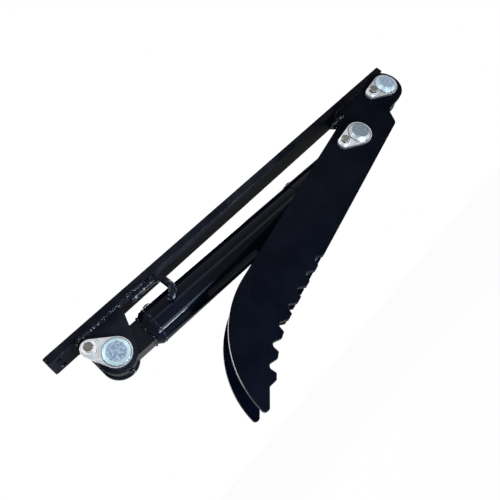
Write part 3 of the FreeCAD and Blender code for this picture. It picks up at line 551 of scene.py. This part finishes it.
class Finishes:
    """Every finish of the thumb, made once."""

    def __init__(self) -> None:
        """Make the materials."""
        # edge_glints sets how much painted highlight lies on a paint's rounded edges.
        self.plate = GlossPaint("plate_paint", gloss=0.01, cut_edges=True, edge_glints=0.12,
                                dark=(0.0007, 0.0011, 0.0027), light=(0.0016, 0.0022, 0.0046),
                                dust=(0.035, 0.038, 0.048))
        # Painted shade: the far plate gets a darker copy of the plate paint, for the shade that it lies in.
        self.shaded_far_plate = GlossPaint("far_plate_shade_paint", gloss=0.005, cut_edges=True,
                                    dark=(0.0004, 0.0006, 0.0020), light=(0.0010, 0.0013, 0.0034),
                                    dust=(0.02, 0.022, 0.03))
        self.bar = GlossPaint("bar_paint", gloss=0.002, roughness=0.3, edge_glints=0.7,
                              dark=(0.003, 0.0036, 0.0060), light=(0.0085, 0.0095, 0.0135))
        self.eye = GlossPaint("eye_paint", gloss=0.03, roughness=0.24,
                              dark=(0.002, 0.0023, 0.004), light=(0.005, 0.0055, 0.0085),
                              dust=(0.03, 0.03, 0.04))
        self.guide = GlossPaint("guide_paint", gloss=0.06, roughness=0.2, edge_glints=0.5)
        self.barrel = GlossPaint("barrel_paint", gloss=0.055, roughness=0.065, peel_height=0.2,
                                 light=(0.0022, 0.0035, 0.0075))
        self.weld = GlossPaint("weld_paint", gloss=0.12, roughness=0.16, lumpy=True)
        self.zinc = ZincPlate("zinc_plate")
        self.washer = ZincPlate("washer_zinc", warm=(0.60, 0.60, 0.61), cool=(0.55, 0.58, 0.64))
        self.cylinder_pin = TurnedPin("cylinder_pin_steel", centre=tuple(CYLINDER_PIN))
        self.pivot_pin = TurnedPin("pivot_pin_steel", centre=tuple(PIVOT),
                                   face=(0.17, 0.23, 0.31), face_pale=(0.32, 0.39, 0.48),
                                   bevel=(0.34, 0.44, 0.48))
        self.crank_pin = TurnedPin("crank_pin_steel", centre=tuple(box_centre("crank_pin")),
                                   face=(0.10, 0.135, 0.165), face_pale=(0.165, 0.205, 0.24),
                                   bevel=(0.36, 0.39, 0.41))
        # The bolt heads' edges carry a painted highlight in their rim colour too.
        self.bolt = ZincPlate("bolt_zinc", "bolt_zinc", warm=(0.125, 0.12, 0.11),
                              cool=(0.085, 0.084, 0.08), pale=(0.17, 0.165, 0.15),
                              rim_highlight=(0.66, 0.66, 0.64))
        along_x = (1.0, 0.1, 0.1)
        self.chrome = PlainMetal("hard_chrome", "hard_chrome", colour=(0.50, 0.52, 0.55),
                                 stain=(0.43, 0.45, 0.48), roughness=0.07,
                                 grain_per_metre=1600.0, grain_stretch=along_x,
                                 grain_height=0.002 * MM)
        self.steel = PlainMetal("machined_steel", "machined_steel", colour=(0.42, 0.46, 0.5),
                                stain=(0.3, 0.33, 0.36), roughness=0.3,
                                grain_per_metre=1200.0, grain_stretch=along_x)
        self.bronze = PlainMetal("bush_bronze", "bronze", colour=(0.55, 0.38, 0.2),
                                 stain=(0.4, 0.27, 0.15))
        self.brass = PlainMetal("nipple_brass", "brass", colour=(0.62, 0.5, 0.28),
                                stain=(0.45, 0.36, 0.2))
        self.rubber = SealRubber("seal_rubber")
        self.materials = {finish.name: finish.make() for finish in vars(self).values()}

    def dress(self, piece: Piece, finish: Finish) -> None:
        """Give a piece one finish all over.

        Args:
            piece: a frame node or a new piece.
            finish: the finish.
        """
        material = self.materials[finish.name]
        if not piece.material_slots:
            piece.data.materials.append(material)
        for slot in piece.material_slots:
            slot.material = material


# Modelling

MERGE_DISTANCE = 0.002 * MM
FLAT_DEGREES = 0.6
SHARP_DEGREES = 28
ROUNDING_FACES = 2


def select_only(piece: Piece | None) -> None:
    """Deselect everything, then select one piece and make it active.

    Args:
        piece: the piece, or None to leave nothing selected.
    """
    bpy.ops.object.select_all(action="DESELECT")
    if piece:
        piece.select_set(True)
        bpy.context.view_layer.objects.active = piece


def apply_modifiers(piece: Piece) -> None:
    """Apply every modifier in its order.

    Args:
        piece: the piece that has the modifiers.
    """
    select_only(piece)
    for modifier in list(piece.modifiers):
        bpy.ops.object.modifier_apply(modifier=modifier.name)


def finish_shape(piece: Piece, name: str, smooth_angle: float) -> None:
    """Name a piece, put its place in its mesh and shade it.

    Args:
        piece: the finished piece.
        name: its name.
        smooth_angle: edges below this angle, in degrees, are smooth.
    """
    piece.name = name
    piece.data.name = name
    select_only(piece)
    bpy.ops.object.transform_apply(location=True, rotation=True, scale=True)
    bpy.ops.object.shade_smooth_by_angle(angle=math.radians(smooth_angle))


def add_piece(piece: Piece, body: Body, finishes: Finishes, finish: Finish,
              replaced: Iterable[str] = ()) -> None:
    """Dress a new piece, let it ride on a body and hide the nodes that it stands for.

    Args:
        piece: the piece, finished and in place.
        body: the body that it moves with.
        finishes: the thumb's finishes.
        finish: the finish of the piece.
        replaced: the nodes that it replaces.
    """
    finishes.dress(piece, finish)
    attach(piece, body.value)
    if replaced:
        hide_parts(*replaced)
    LOG.info("%s rides on %s, %d faces", piece.name, body.value, len(piece.data.polygons))


def rounded_copy(node: str, width: float) -> Piece:
    """Copy a node of the frame and round its sharp edges.

    Args:
        node: the node's name.
        width: the width of the rounding.

    Returns:
        The copy, which still has to replace the node.
    """
    piece = bpy.data.objects.new(node + "_finished", frame["nodes"][node].data.copy())
    bpy.context.scene.collection.objects.link(piece)
    piece.data.materials.clear()
    select_only(piece)
    bpy.ops.object.mode_set(mode="EDIT")
    bpy.ops.mesh.select_all(action="SELECT")
    bpy.ops.mesh.remove_doubles(threshold=MERGE_DISTANCE)
    bpy.ops.mesh.customdata_custom_splitnormals_clear()
    bpy.ops.mesh.dissolve_limited(angle_limit=math.radians(FLAT_DEGREES))
    bpy.ops.object.mode_set(mode="OBJECT")
    bevel = piece.modifiers.new("rounding", "BEVEL")
    bevel.width = width
    bevel.segments = ROUNDING_FACES
    bevel.limit_method = "ANGLE"
    bevel.angle_limit = math.radians(SHARP_DEGREES)
    apply_modifiers(piece)
    finish_shape(piece, node + "_finished", smooth_angle=38)
    weighted = piece.modifiers.new("weighted", "WEIGHTED_NORMAL")
    weighted.keep_sharp = True
    apply_modifiers(piece)
    return piece


def turned(sections: Sequence[tuple[float, float]], vertices: int) -> Piece:
    """Turn a closed round piece by extruding and resizing a disc along Z.

    Args:
        sections: pairs of distance along the axis and radius.
        vertices: the number of points round the piece.

    Returns:
        The piece, standing on the origin.
    """
    select_only(None)
    first, radius = sections[0]
    bpy.ops.mesh.primitive_circle_add(vertices=vertices, radius=radius, fill_type="NGON",
                                      location=(0, 0, first))
    piece = bpy.context.active_object
    bpy.ops.object.transform_apply(location=True)
    bpy.ops.object.mode_set(mode="EDIT")
    bpy.ops.mesh.select_all(action="SELECT")
    for (start, before), (end, after) in zip(sections, sections[1:]):
        bpy.ops.mesh.extrude_region_move(TRANSFORM_OT_translate={"value": (0, 0, end - start)})
        ratio = after / before
        bpy.ops.transform.resize(value=(ratio, ratio, 1), center_override=(0, 0, end))
    bpy.ops.mesh.select_all(action="SELECT")
    bpy.ops.mesh.normals_make_consistent(inside=False)
    bpy.ops.object.mode_set(mode="OBJECT")
    return piece


def stand(piece: Piece, place: Vector, axis: Vector) -> None:
    """Stand a piece that was made along Z at a place, along an axis."""
    turn = axis.normalized().to_track_quat("Z", "Y").to_matrix().to_4x4()
    piece.matrix_world = Matrix.Translation(place) @ turn


def joined(pieces: Sequence[Piece]) -> Piece:
    """Join pieces.

    Args:
        pieces: two pieces or more.

    Returns:
        The first piece, which now holds all of them.
    """
    select_only(pieces[0])
    for piece in pieces[1:]:
        piece.select_set(True)
    bpy.ops.object.join()
    return pieces[0]


def line_points(start: Vector, end: Vector, pitch: float) -> list[Vector]:
    """Return points along a straight line, about a pitch apart."""
    count = max(2, round((end - start).length / pitch))
    return [start.lerp(end, number / count) for number in range(count + 1)]


def loop_runs(corners: Sequence[Vector], pitch: float,
              shortest: float = 0.0) -> list[list[Vector]]:
    """Return runs of points along the sides of a closed loop.

    Args:
        corners: the loop's corners.
        pitch: the distance between points.
        shortest: sides that aren't longer than this are left out.

    Returns:
        One list of points for each side.
    """
    sides = zip(corners, [*corners[1:], corners[0]])
    return [line_points(start, end, pitch) for start, end in sides
            if (end - start).length > shortest]


def circle_points(centre: Vector, axis: Vector, radius: float, pitch: float) -> list[Vector]:
    """Return points round a full circle, about a pitch apart.

    Args:
        centre: the circle's centre.
        axis: its axis.
        radius: its radius.
        pitch: the distance between points.

    Returns:
        The points, the first one last again.
    """
    axis = axis.normalized()
    across = axis.orthogonal().normalized()
    count = round(2 * math.pi * radius / pitch)
    return [centre + Matrix.Rotation(2 * math.pi * number / count, 3, axis) @ across * radius
            for number in range(count + 1)]


@dataclass
class WeldBead:
    """A weld bead laid as overlapping ripples."""

    leg: float
    pitch: float = 1.7 * MM
    ripple_share: float = 0.85
    unevenness: float = 0.1
    seed: int = 5

    def ripple(self) -> Piece:
        """Model one ripple.

        Returns:
            A ball that is flattened along X.
        """
        select_only(None)
        bpy.ops.mesh.primitive_ico_sphere_add(subdivisions=2, radius=self.leg)
        piece = bpy.context.active_object
        bpy.ops.object.mode_set(mode="EDIT")
        bpy.ops.mesh.select_all(action="SELECT")
        flat = self.ripple_share * self.pitch / self.leg
        bpy.ops.transform.resize(value=(flat, 1, 1), center_override=(0, 0, 0))
        bpy.ops.object.mode_set(mode="OBJECT")
        return piece

    def lay(self, name: str, runs: Iterable[list[Vector]]) -> Piece:
        """Lay ripples along runs of points.

        Args:
            name: the piece's name.
            runs: lists of points along each seam.

        Returns:
            All the ripples as one piece.
        """
        chance = random.Random(f"{name}{self.seed}")
        first = self.ripple()
        copies = []
        for run in runs:
            for before, point, after in zip(run[:1] + run, run, run[1:] + run[-1:]):
                copy = bpy.data.objects.new(name, first.data.copy())
                bpy.context.scene.collection.objects.link(copy)
                tangent = (after - before).normalized()
                turn = tangent.to_track_quat("X", "Z").to_matrix().to_4x4()
                stretch = [1 + chance.uniform(-self.unevenness, self.unevenness)
                           for _ in range(3)]
                copy.matrix_world = (Matrix.Translation(point) @ turn
                                     @ Matrix.Diagonal((*stretch, 1.0)))
                copies.append(copy)
        bpy.data.objects.remove(first)
        piece = joined(copies)
        finish_shape(piece, name, smooth_angle=75)
        return piece


# Sub-assemblies

# A node, the width of its rounding and its finish
Rounding = tuple[str, float, Finish]


@dataclass
class Assembly:
    """A sub-assembly of the thumb."""

    finishes: Finishes

    NIPPLE_RADIUS = 3.6 * MM
    NIPPLE_HEXAGON = ((0, 0.9), (0.08, 1), (0.38, 1), (0.45, 0.86))
    NIPPLE_HEAD = ((0.4, 0.6), (0.55, 0.5), (0.64, 0.46), (0.72, 0.66), (0.82, 0.72),
                   (0.92, 0.58), (1, 0.3))

    def round_edges(self, body: Body, rows: Iterable[Rounding]) -> None:
        """Replace nodes by copies with rounded edges, which ride on a body."""
        for node, width, finish in rows:
            add_piece(rounded_copy(node, width), body, self.finishes, finish, [node])

    def paint(self, nodes: Iterable[str], finish: Finish) -> None:
        """Give nodes of the frame a finish.

        Args:
            nodes: the names of the nodes.
            finish: their finish.
        """
        for node in nodes:
            self.finishes.dress(frame["nodes"][node], finish)
            LOG.info("%s keeps its shape, in %s", node, finish.name)

    def weld(self, name: str, runs: Iterable[list[Vector]], body: Body,
             bead: WeldBead) -> None:
        """Lay a painted weld bead that rides on a body."""
        add_piece(bead.lay(name, runs), body, self.finishes, self.finishes.weld)

    def nipple(self, node: str, axis: Vector, body: Body, finish: Finish) -> None:
        """Replace a grease nipple by one with a hexagon, a neck and a ball head.

        Args:
            node: the nipple's node.
            axis: the direction that it points in.
            body: the body that it sits on.
            finish: brass, or paint where it was sprayed over.
        """
        low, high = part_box(node)
        height = abs((high - low).dot(axis))
        hexagon, head = (
            turned([(height * rise, self.NIPPLE_RADIUS * share) for rise, share in profile], count)
            for profile, count in ((self.NIPPLE_HEXAGON, 6), (self.NIPPLE_HEAD, 20)))
        piece = joined([hexagon, head])
        stand(piece, (low + high) / 2 - axis * (height / 2), axis)
        finish_shape(piece, node + "_finished", smooth_angle=40)
        add_piece(piece, body, self.finishes, finish, [node])


@dataclass
class Base(Assembly):
    """Base bar with its lugs, pivot tube and hose guide."""

    bar_rounding: float = 1.0 * MM
    tube_rounding: float = 0.6 * MM
    guide_rounding: float = 0.8 * MM
    lug_rounding: float = 0.7 * MM
    lug_leg: float = 3.2 * MM
    tube_leg: float = 2.6 * MM
    foot_width: float = 10 * MM
    foot_length: float = 26 * MM
    foot_inset: float = 1 * MM

    def __post_init__(self) -> None:
        """Find the underside of the base bar."""
        self.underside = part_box("base_plate")[0].z

    def build(self) -> None:
        """Build and dress the base."""
        paints = self.finishes
        lugs = ("cylinder_lug_near", "cylinder_lug_far", "pivot_lug_near", "pivot_lug_far")
        rows = [("base_plate", self.bar_rounding, paints.bar),
                ("pivot_tube", self.tube_rounding, paints.bar),
                ("hose_guide", self.guide_rounding, paints.guide)]
        rows += [(lug, self.lug_rounding, paints.bar) for lug in lugs]
        self.round_edges(Body.BASE, rows)
        self.paint(["pivot_bushes"], paints.bronze)
        self.nipple("pivot_nipple", X_AXIS, Body.BASE, paints.brass)
        for lug in lugs:
            self.lug_seam(lug)
        self.tube_seams()
        self.guide_seam()

    def lug_seam(self, lug: str) -> None:
        """Lay the bead all round the foot of a lug.

        Args:
            lug: the lug's node.
        """
        low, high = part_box(lug)
        bead = WeldBead(self.lug_leg)
        corners = [Vector((x, y, self.underside)) for x, y in
                   ((low.x, low.y), (high.x, low.y), (high.x, high.y), (low.x, high.y))]
        self.weld(lug + "_bead", loop_runs(corners, bead.pitch), Body.BASE, bead)

    def tube_seams(self) -> None:
        """Lay beads round the pivot tube on both sides of both lugs."""
        low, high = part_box("pivot_tube")
        bead = WeldBead(self.tube_leg)
        runs = []
        for lug in ("pivot_lug_near", "pivot_lug_far"):
            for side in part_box(lug):
                centre = Vector((PIVOT.x, side.y, PIVOT.z))
                ring = circle_points(centre, Y_AXIS, (high.z - low.z) / 2, bead.pitch)
                runs.append([point for point in ring if point.z < self.underside])
        self.weld("pivot_tube_bead", runs, Body.BASE, bead)

    def guide_seam(self) -> None:
        """Lay beads along both sides and the end of the hose guide's foot."""
        low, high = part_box("hose_guide")
        bead = WeldBead(self.tube_leg, seed=9)
        outer = high.y - self.foot_width
        runs = [line_points(Vector((low.x, y, self.underside)),
                            Vector((low.x + self.foot_length, y, self.underside)), bead.pitch)
                for y in (high.y - self.foot_inset, outer + self.foot_inset)]
        runs.append(line_points(Vector((low.x, high.y, self.underside)),
                                Vector((low.x, outer, self.underside)), bead.pitch))
        self.weld("hose_guide_bead", runs, Body.BASE, bead)


@dataclass
class Pins(Assembly):
    """Pins with their flags, bolts and washers."""

    pin_rounding: float = 0.35 * MM
    flag_rounding: float = 0.6 * MM
    bolt_rounding: float = 0.3 * MM
    collar_rounding: float = 0.2 * MM

    def build(self) -> None:
        """Build and dress the pins."""
        paints = self.finishes
        pin, flag, bolt, collar = (self.pin_rounding, self.flag_rounding, self.bolt_rounding,
                                   self.collar_rounding)
        self.round_edges(Body.BASE, [
            ("cylinder_pin", pin, paints.cylinder_pin),
            ("cylinder_pin_flag", flag, paints.zinc),
            ("cylinder_flag_bolt", bolt, paints.bolt),
            ("cylinder_flag_washer", bolt, paints.washer)])
        self.round_edges(Body.THUMB, [
            ("pivot_pin", pin, paints.pivot_pin),
            ("pivot_pin_flag", flag, paints.zinc),
            ("crank_pin", pin, paints.crank_pin),
            ("crank_pin_flag", flag, paints.zinc),
            ("thumb_flag_bolts", bolt, paints.bolt),
            ("thumb_flag_washers", bolt, paints.washer),
            ("thumb_flag_spring_washers", bolt, paints.washer),
            ("pin_collars", collar, paints.bar),
            ("flag_bolt_bosses", collar, paints.bar)])


@dataclass
class Thumb(Assembly):
    """Toothed plates with their cross bars and bosses."""

    plate_rounding: float = 0.8 * MM
    bar_rounding: float = 0.8 * MM
    boss_rounding: float = 0.6 * MM
    bar_leg: float = 3.4 * MM
    boss_leg: float = 2.6 * MM
    end_tolerance: float = 0.1 * MM

    def build(self) -> None:
        """Build and dress the thumb."""
        paints = self.finishes
        bars = ("cross_bar_upper", "cross_bar_middle", "cross_bar_tip")
        rows = [("thumb_plate_near", self.plate_rounding, paints.plate),
                ("thumb_plate_far", self.plate_rounding, paints.shaded_far_plate)]
        rows += [(bar, self.bar_rounding, paints.bar) for bar in bars]
        rows += [(boss, self.boss_rounding, paints.bar)
                 for boss in ("crank_boss_near", "crank_boss_far")]
        self.round_edges(Body.THUMB, rows)
        for bar in bars:
            self.bar_seam(bar)
        self.boss_seams()

    def bar_seam(self, bar: str) -> None:
        """Lay beads round both ends of a cross bar, where it meets the plates.

        Args:
            bar: the bar's node.
        """
        bead = WeldBead(self.bar_leg)
        runs = []
        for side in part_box(bar):
            ends = [vertex.co for vertex in frame["nodes"][bar].data.vertices
                    if abs(vertex.co.y - side.y) < self.end_tolerance]
            left, right = (pick(ends, key=lambda point: point.x) for pick in (min, max))
            bottom, top = (pick(ends, key=lambda point: point.z) for pick in (min, max))
            runs += loop_runs([left, top, right, bottom], bead.pitch, bead.leg)
        self.weld(bar + "_bead", runs, Body.THUMB, bead)

    def boss_seams(self) -> None:
        """Lay beads round the crank pin's bosses on the plates' inner faces."""
        bead = WeldBead(self.boss_leg)
        runs = []
        for boss, plate_side in (("crank_boss_near", 0), ("crank_boss_far", 1)):
            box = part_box(boss)
            centre = box_centre(boss)
            centre.y = box[plate_side].y
            runs.append(circle_points(centre, Y_AXIS, (box[1].z - box[0].z) / 2, bead.pitch))
        self.weld("crank_boss_bead", runs, Body.THUMB, bead)


@dataclass
class Cylinder(Assembly):
    """Barrel, rod and eyes. The starts are distances from the base eye's pin."""

    eye_rounding: float = 0.8 * MM
    cap_rounding: float = 0.6 * MM
    head_rounding: float = 0.5 * MM
    neck_half_height: float = 17.5 * MM
    neck_half_width: float = 13.5 * MM
    neck_leg: float = 1.8 * MM
    cap_start: float = 44 * MM
    tube_start: float = 56 * MM
    tube_seam_radius: float = 24.5 * MM
    tube_leg: float = 1.0 * MM
    tube_pitch: float = 1.2 * MM
    rod_neck: float = 30 * MM
    rod_radius: float = 12.5 * MM
    rod_pitch: float = 1.5 * MM
    thread_pitch: float = 1.34 * MM
    thread_crest: float = 0.536 * MM

    def __post_init__(self) -> None:
        """Find the turn from X to the cylinder."""
        self.turn = X_AXIS.rotation_difference(ALONG_CYLINDER).to_matrix()

    def at(self, distance: float, across: float = 0.0, up: float = 0.0) -> Vector:
        """Return a point by its distance along the cylinder and its offsets."""
        return CYLINDER_PIN + self.turn @ Vector((distance, across, up))

    def build(self) -> None:
        """Build and dress the cylinder."""
        paints = self.finishes
        self.round_edges(Body.BARREL, [
            ("base_eye", self.eye_rounding, paints.eye),
            ("end_cap", self.cap_rounding, paints.barrel),
            ("cylinder_head", self.head_rounding, paints.barrel),
            ("base_port", self.head_rounding, paints.barrel),
            ("rod_port", self.head_rounding, paints.barrel)])
        self.round_edges(Body.ROD, [("rod_eye", self.eye_rounding, paints.bar)])
        self.paint(["barrel_tube"], paints.barrel)
        self.paint(["base_eye_bush", "rod_eye_bush"], paints.bronze)
        self.paint(["rod_seal", "rod_wiper", "piston_seal"], paints.rubber)
        self.paint(["piston_rod"], paints.chrome)
        self.paint(["piston", "piston_nut", "crank_pin_core"], paints.steel)
        self.nipple("base_eye_nipple", -Z_AXIS, Body.BARREL, paints.weld)
        self.nipple("rod_eye_nipple", -Z_AXIS, Body.ROD, paints.brass)
        self.barrel_seams()
        self.rod_seam()
        for port in ("base_port", "rod_port"):
            self.port_thread(port)

    def barrel_seams(self) -> None:
        """Lay the bead round the end cap and those round the base eye's neck."""
        bead = WeldBead(self.tube_leg, self.tube_pitch)
        ring = circle_points(self.at(self.tube_start), ALONG_CYLINDER, self.tube_seam_radius,
                             bead.pitch)
        self.weld("end_cap_bead", [ring], Body.BARREL, bead)
        neck = WeldBead(self.neck_leg)
        high, wide = self.neck_half_height, self.neck_half_width
        corners = [self.at(self.cap_start, across, up) for across, up in
                   ((-wide, -high), (-wide, high), (wide, high), (wide, -high))]
        self.weld("base_eye_bead", loop_runs(corners, neck.pitch), Body.BARREL, neck)

    def rod_seam(self) -> None:
        """Lay the bead between the rod and its eye."""
        centre = box_centre("crank_pin_core") - ALONG_CYLINDER * self.rod_neck
        bead = WeldBead(self.neck_leg, self.rod_pitch)
        ring = circle_points(centre, ALONG_CYLINDER, self.rod_radius, bead.pitch)
        self.weld("rod_eye_bead", [ring], Body.ROD, bead)

    def port_thread(self, port: str) -> None:
        """Line a port with the crests of its thread.

        Args:
            port: the name of the port's mount and node.
        """
        mount = MOUNTS[port]
        axis = Vector(mount["axis"]).normalized()
        centre = Vector(mount["pos_m"])
        radius, length = (mount["dims"][name] * MM for name in ("r_mm", "length_mm"))
        count = int(length / self.thread_pitch) - 1
        rings = []
        for number in range(count):
            select_only(None)
            bpy.ops.mesh.primitive_torus_add(
                major_radius=radius, minor_radius=self.thread_crest,
                major_segments=40, minor_segments=6)
            ring = bpy.context.active_object
            stand(ring, centre + axis * (number - (count - 1) / 2) * self.thread_pitch, axis)
            rings.append(ring)
        piece = joined(rings)
        finish_shape(piece, port + "_thread", smooth_angle=60)
        add_piece(piece, Body.BARREL, self.finishes, self.finishes.steel)


# Camera, lamps and surroundings

@dataclass(frozen=True)
class View:
    """The photograph's camera, placed from the cylinder's pin."""

    offset: Triple = (-55.77 * MM, -629.06 * MM, -163.43 * MM)
    azimuth: float = 23.59
    elevation: float = 12.09
    roll: float = -48.92
    lens: float = 37.1
    sensor: float = 36.0

    def position(self) -> Vector:
        """Return the camera's position."""
        return CYLINDER_PIN + Vector(self.offset)

    def turn(self) -> Matrix:
        """Work out the camera's rotation from its angles.

        Returns:
            The rotation, the camera looking along its own -Z.
        """
        azimuth, elevation, roll = (math.radians(angle) for angle in
                                    (self.azimuth, self.elevation, self.roll))
        forward = Vector((math.sin(azimuth) * math.cos(elevation),
                          math.cos(azimuth) * math.cos(elevation), math.sin(elevation)))
        right = forward.cross(Z_AXIS).normalized()
        right = Matrix.Rotation(-roll, 3, forward) @ right
        up = right.cross(forward)
        return Matrix((right, up, -forward)).transposed()

    def make(self) -> None:
        """Make the camera and use it."""
        camera = bpy.data.cameras.new("camera")
        camera.lens = self.lens
        camera.sensor_width = self.sensor
        camera.clip_start = 0.01
        holder = bpy.data.objects.new("camera", camera)
        holder.matrix_world = Matrix.Translation(self.position()) @ self.turn().to_4x4()
        bpy.context.scene.collection.objects.link(holder)
        bpy.context.scene.camera = holder


@dataclass(frozen=True)
class Lamp:
    """A soft area lamp that looks at a target, its width lying along the cylinder."""

    name: str
    place: Triple
    width: float
    height: float
    power: float
    colour: Colour = (1.0, 1.0, 1.0)
    target: Triple = (0.0, 0.0, -0.1)

    def make(self) -> None:
        """Make the lamp."""
        light = bpy.data.lights.new(self.name, "AREA")
        light.shape = "RECTANGLE"
        light.size = self.width
        light.size_y = self.height
        light.energy = self.power
        light.color = self.colour
        holder = bpy.data.objects.new(self.name, light)
        back = (Vector(self.place) - Vector(self.target)).normalized()
        wide = (ALONG_CYLINDER - back * ALONG_CYLINDER.dot(back)).normalized()
        turn = Matrix((wide, back.cross(wide), back)).transposed().to_4x4()
        holder.matrix_world = Matrix.Translation(Vector(self.place)) @ turn
        holder.visible_camera = False
        bpy.context.scene.collection.objects.link(holder)


@dataclass(frozen=True)
class Highlight:
    """A light streak on the barrel, its angle in degrees from the side that faces the camera."""

    name: str
    angle: float
    distance: float
    along: float
    width: float
    height: float
    power: float
    colour: Colour

    def lamp(self, view: View) -> Lamp:
        """Return the lamp that the barrel mirrors to the camera.

        Args:
            view: the camera.

        Returns:
            The lamp, not made yet.
        """
        point = CYLINDER_PIN + ALONG_CYLINDER * self.along
        sight = (view.position() - point).normalized()
        facing = (sight - ALONG_CYLINDER * sight.dot(ALONG_CYLINDER)).normalized()
        normal = Matrix.Rotation(math.radians(self.angle), 3, ALONG_CYLINDER) @ facing
        ray = normal * (2 * sight.dot(normal)) - sight
        return Lamp(self.name, tuple(point + ray * self.distance), self.width, self.height,
                    self.power, self.colour, tuple(point))


@dataclass(frozen=True)
class Studio:
    """Pale floor, white surroundings and the lamps."""

    floor_height: float = -0.62
    floor_size: float = 14.0
    ambient: float = 0.5
    floor_glow: float = 0.955
    lower_strip: Highlight = Highlight("lower_strip", angle=24.5, distance=0.6, along=0.1,
                                       width=0.46, height=0.024, power=10.5,
                                       colour=(0.86, 0.93, 1.0))
    sheen: Highlight = Highlight("sheen", angle=20.0, distance=0.6, along=0.1,
                                 width=0.2, height=0.12, power=1.6, colour=(0.6, 0.8, 1.0))
    upper_strip: Highlight = Highlight("upper_strip", angle=-14.0, distance=0.9, along=0.2,
                                       width=0.8, height=0.2, power=1.5,
                                       colour=(1.0, 0.97, 0.93))

    def make(self, view: View) -> None:
        """Make the floor, the world and the lamps.

        Args:
            view: the camera, from which the barrel's highlights are placed.
        """
        self.world()
        self.floor()
        for lamp in (
                Lamp("overhead", (0.2, -0.5, 1.8), width=2.4, height=2.4, power=8.0),
                self.lower_strip.lamp(view),
                Lamp("pin_rims", (0.7, -0.28, -0.52), width=0.3, height=0.3, power=0.6,
                     target=tuple(PIVOT)),
                self.sheen.lamp(view),
                self.upper_strip.lamp(view),
                Lamp("sparkle", (-0.6, -1.2, 0.6), width=0.04, height=0.04, power=3.0),
                Lamp("back", (0.1, 1.5, 0.5), width=1.2, height=1.0, power=12.0)):
            lamp.make()

    def world(self) -> None:
        """Make the white surroundings, which light the object only softly."""
        world = bpy.data.worlds.new("surroundings")
        bpy.context.scene.world = world
        tree = Tree(world)
        tree.clear()
        strength = self.ambient + tree.seen() * (1 - self.ambient)
        background = tree.node("ShaderNodeBackground", None,
                               {"Color": (1.0, 1.0, 1.0), "Strength": strength})
        tree.node("ShaderNodeOutputWorld", None, {"Surface": background})

    def floor(self) -> None:
        """Make the pale floor, far enough down for the open thumb."""
        select_only(None)
        bpy.ops.mesh.primitive_plane_add(size=self.floor_size,
                                         location=(0, 0, self.floor_height))
        floor = bpy.context.active_object
        floor.name = "floor"
        tree = Tree(bpy.data.materials.new("pale_floor"))
        tree.clear()
        white = tree.node("ShaderNodeEmission", None,
                          {"Color": (1.0, 1.0, 1.0), "Strength": 1.0})
        matt = tree.node("ShaderNodeBsdfDiffuse", None, {"Color": (0.9, 0.9, 0.9)})
        shade = tree.node("ShaderNodeMixShader", None,
                          {0: tree.seen() * self.floor_glow, 1: matt, 2: white})
        tree.node("ShaderNodeOutputMaterial", None, {"Surface": shade})
        floor.data.materials.append(tree.owner)


def main() -> None:
    """Build every sub-assembly in order."""
    logging.basicConfig(level=logging.INFO, format="%(message)s")
    bpy.context.scene.view_settings.view_transform = "Standard"
    view = View()
    view.make()
    Studio().make(view)
    finishes = Finishes()
    Base(finishes).build()
    Pins(finishes).build()
    Thumb(finishes).build()
    Cylinder(finishes).build()


if __name__ == "__main__":
    main()
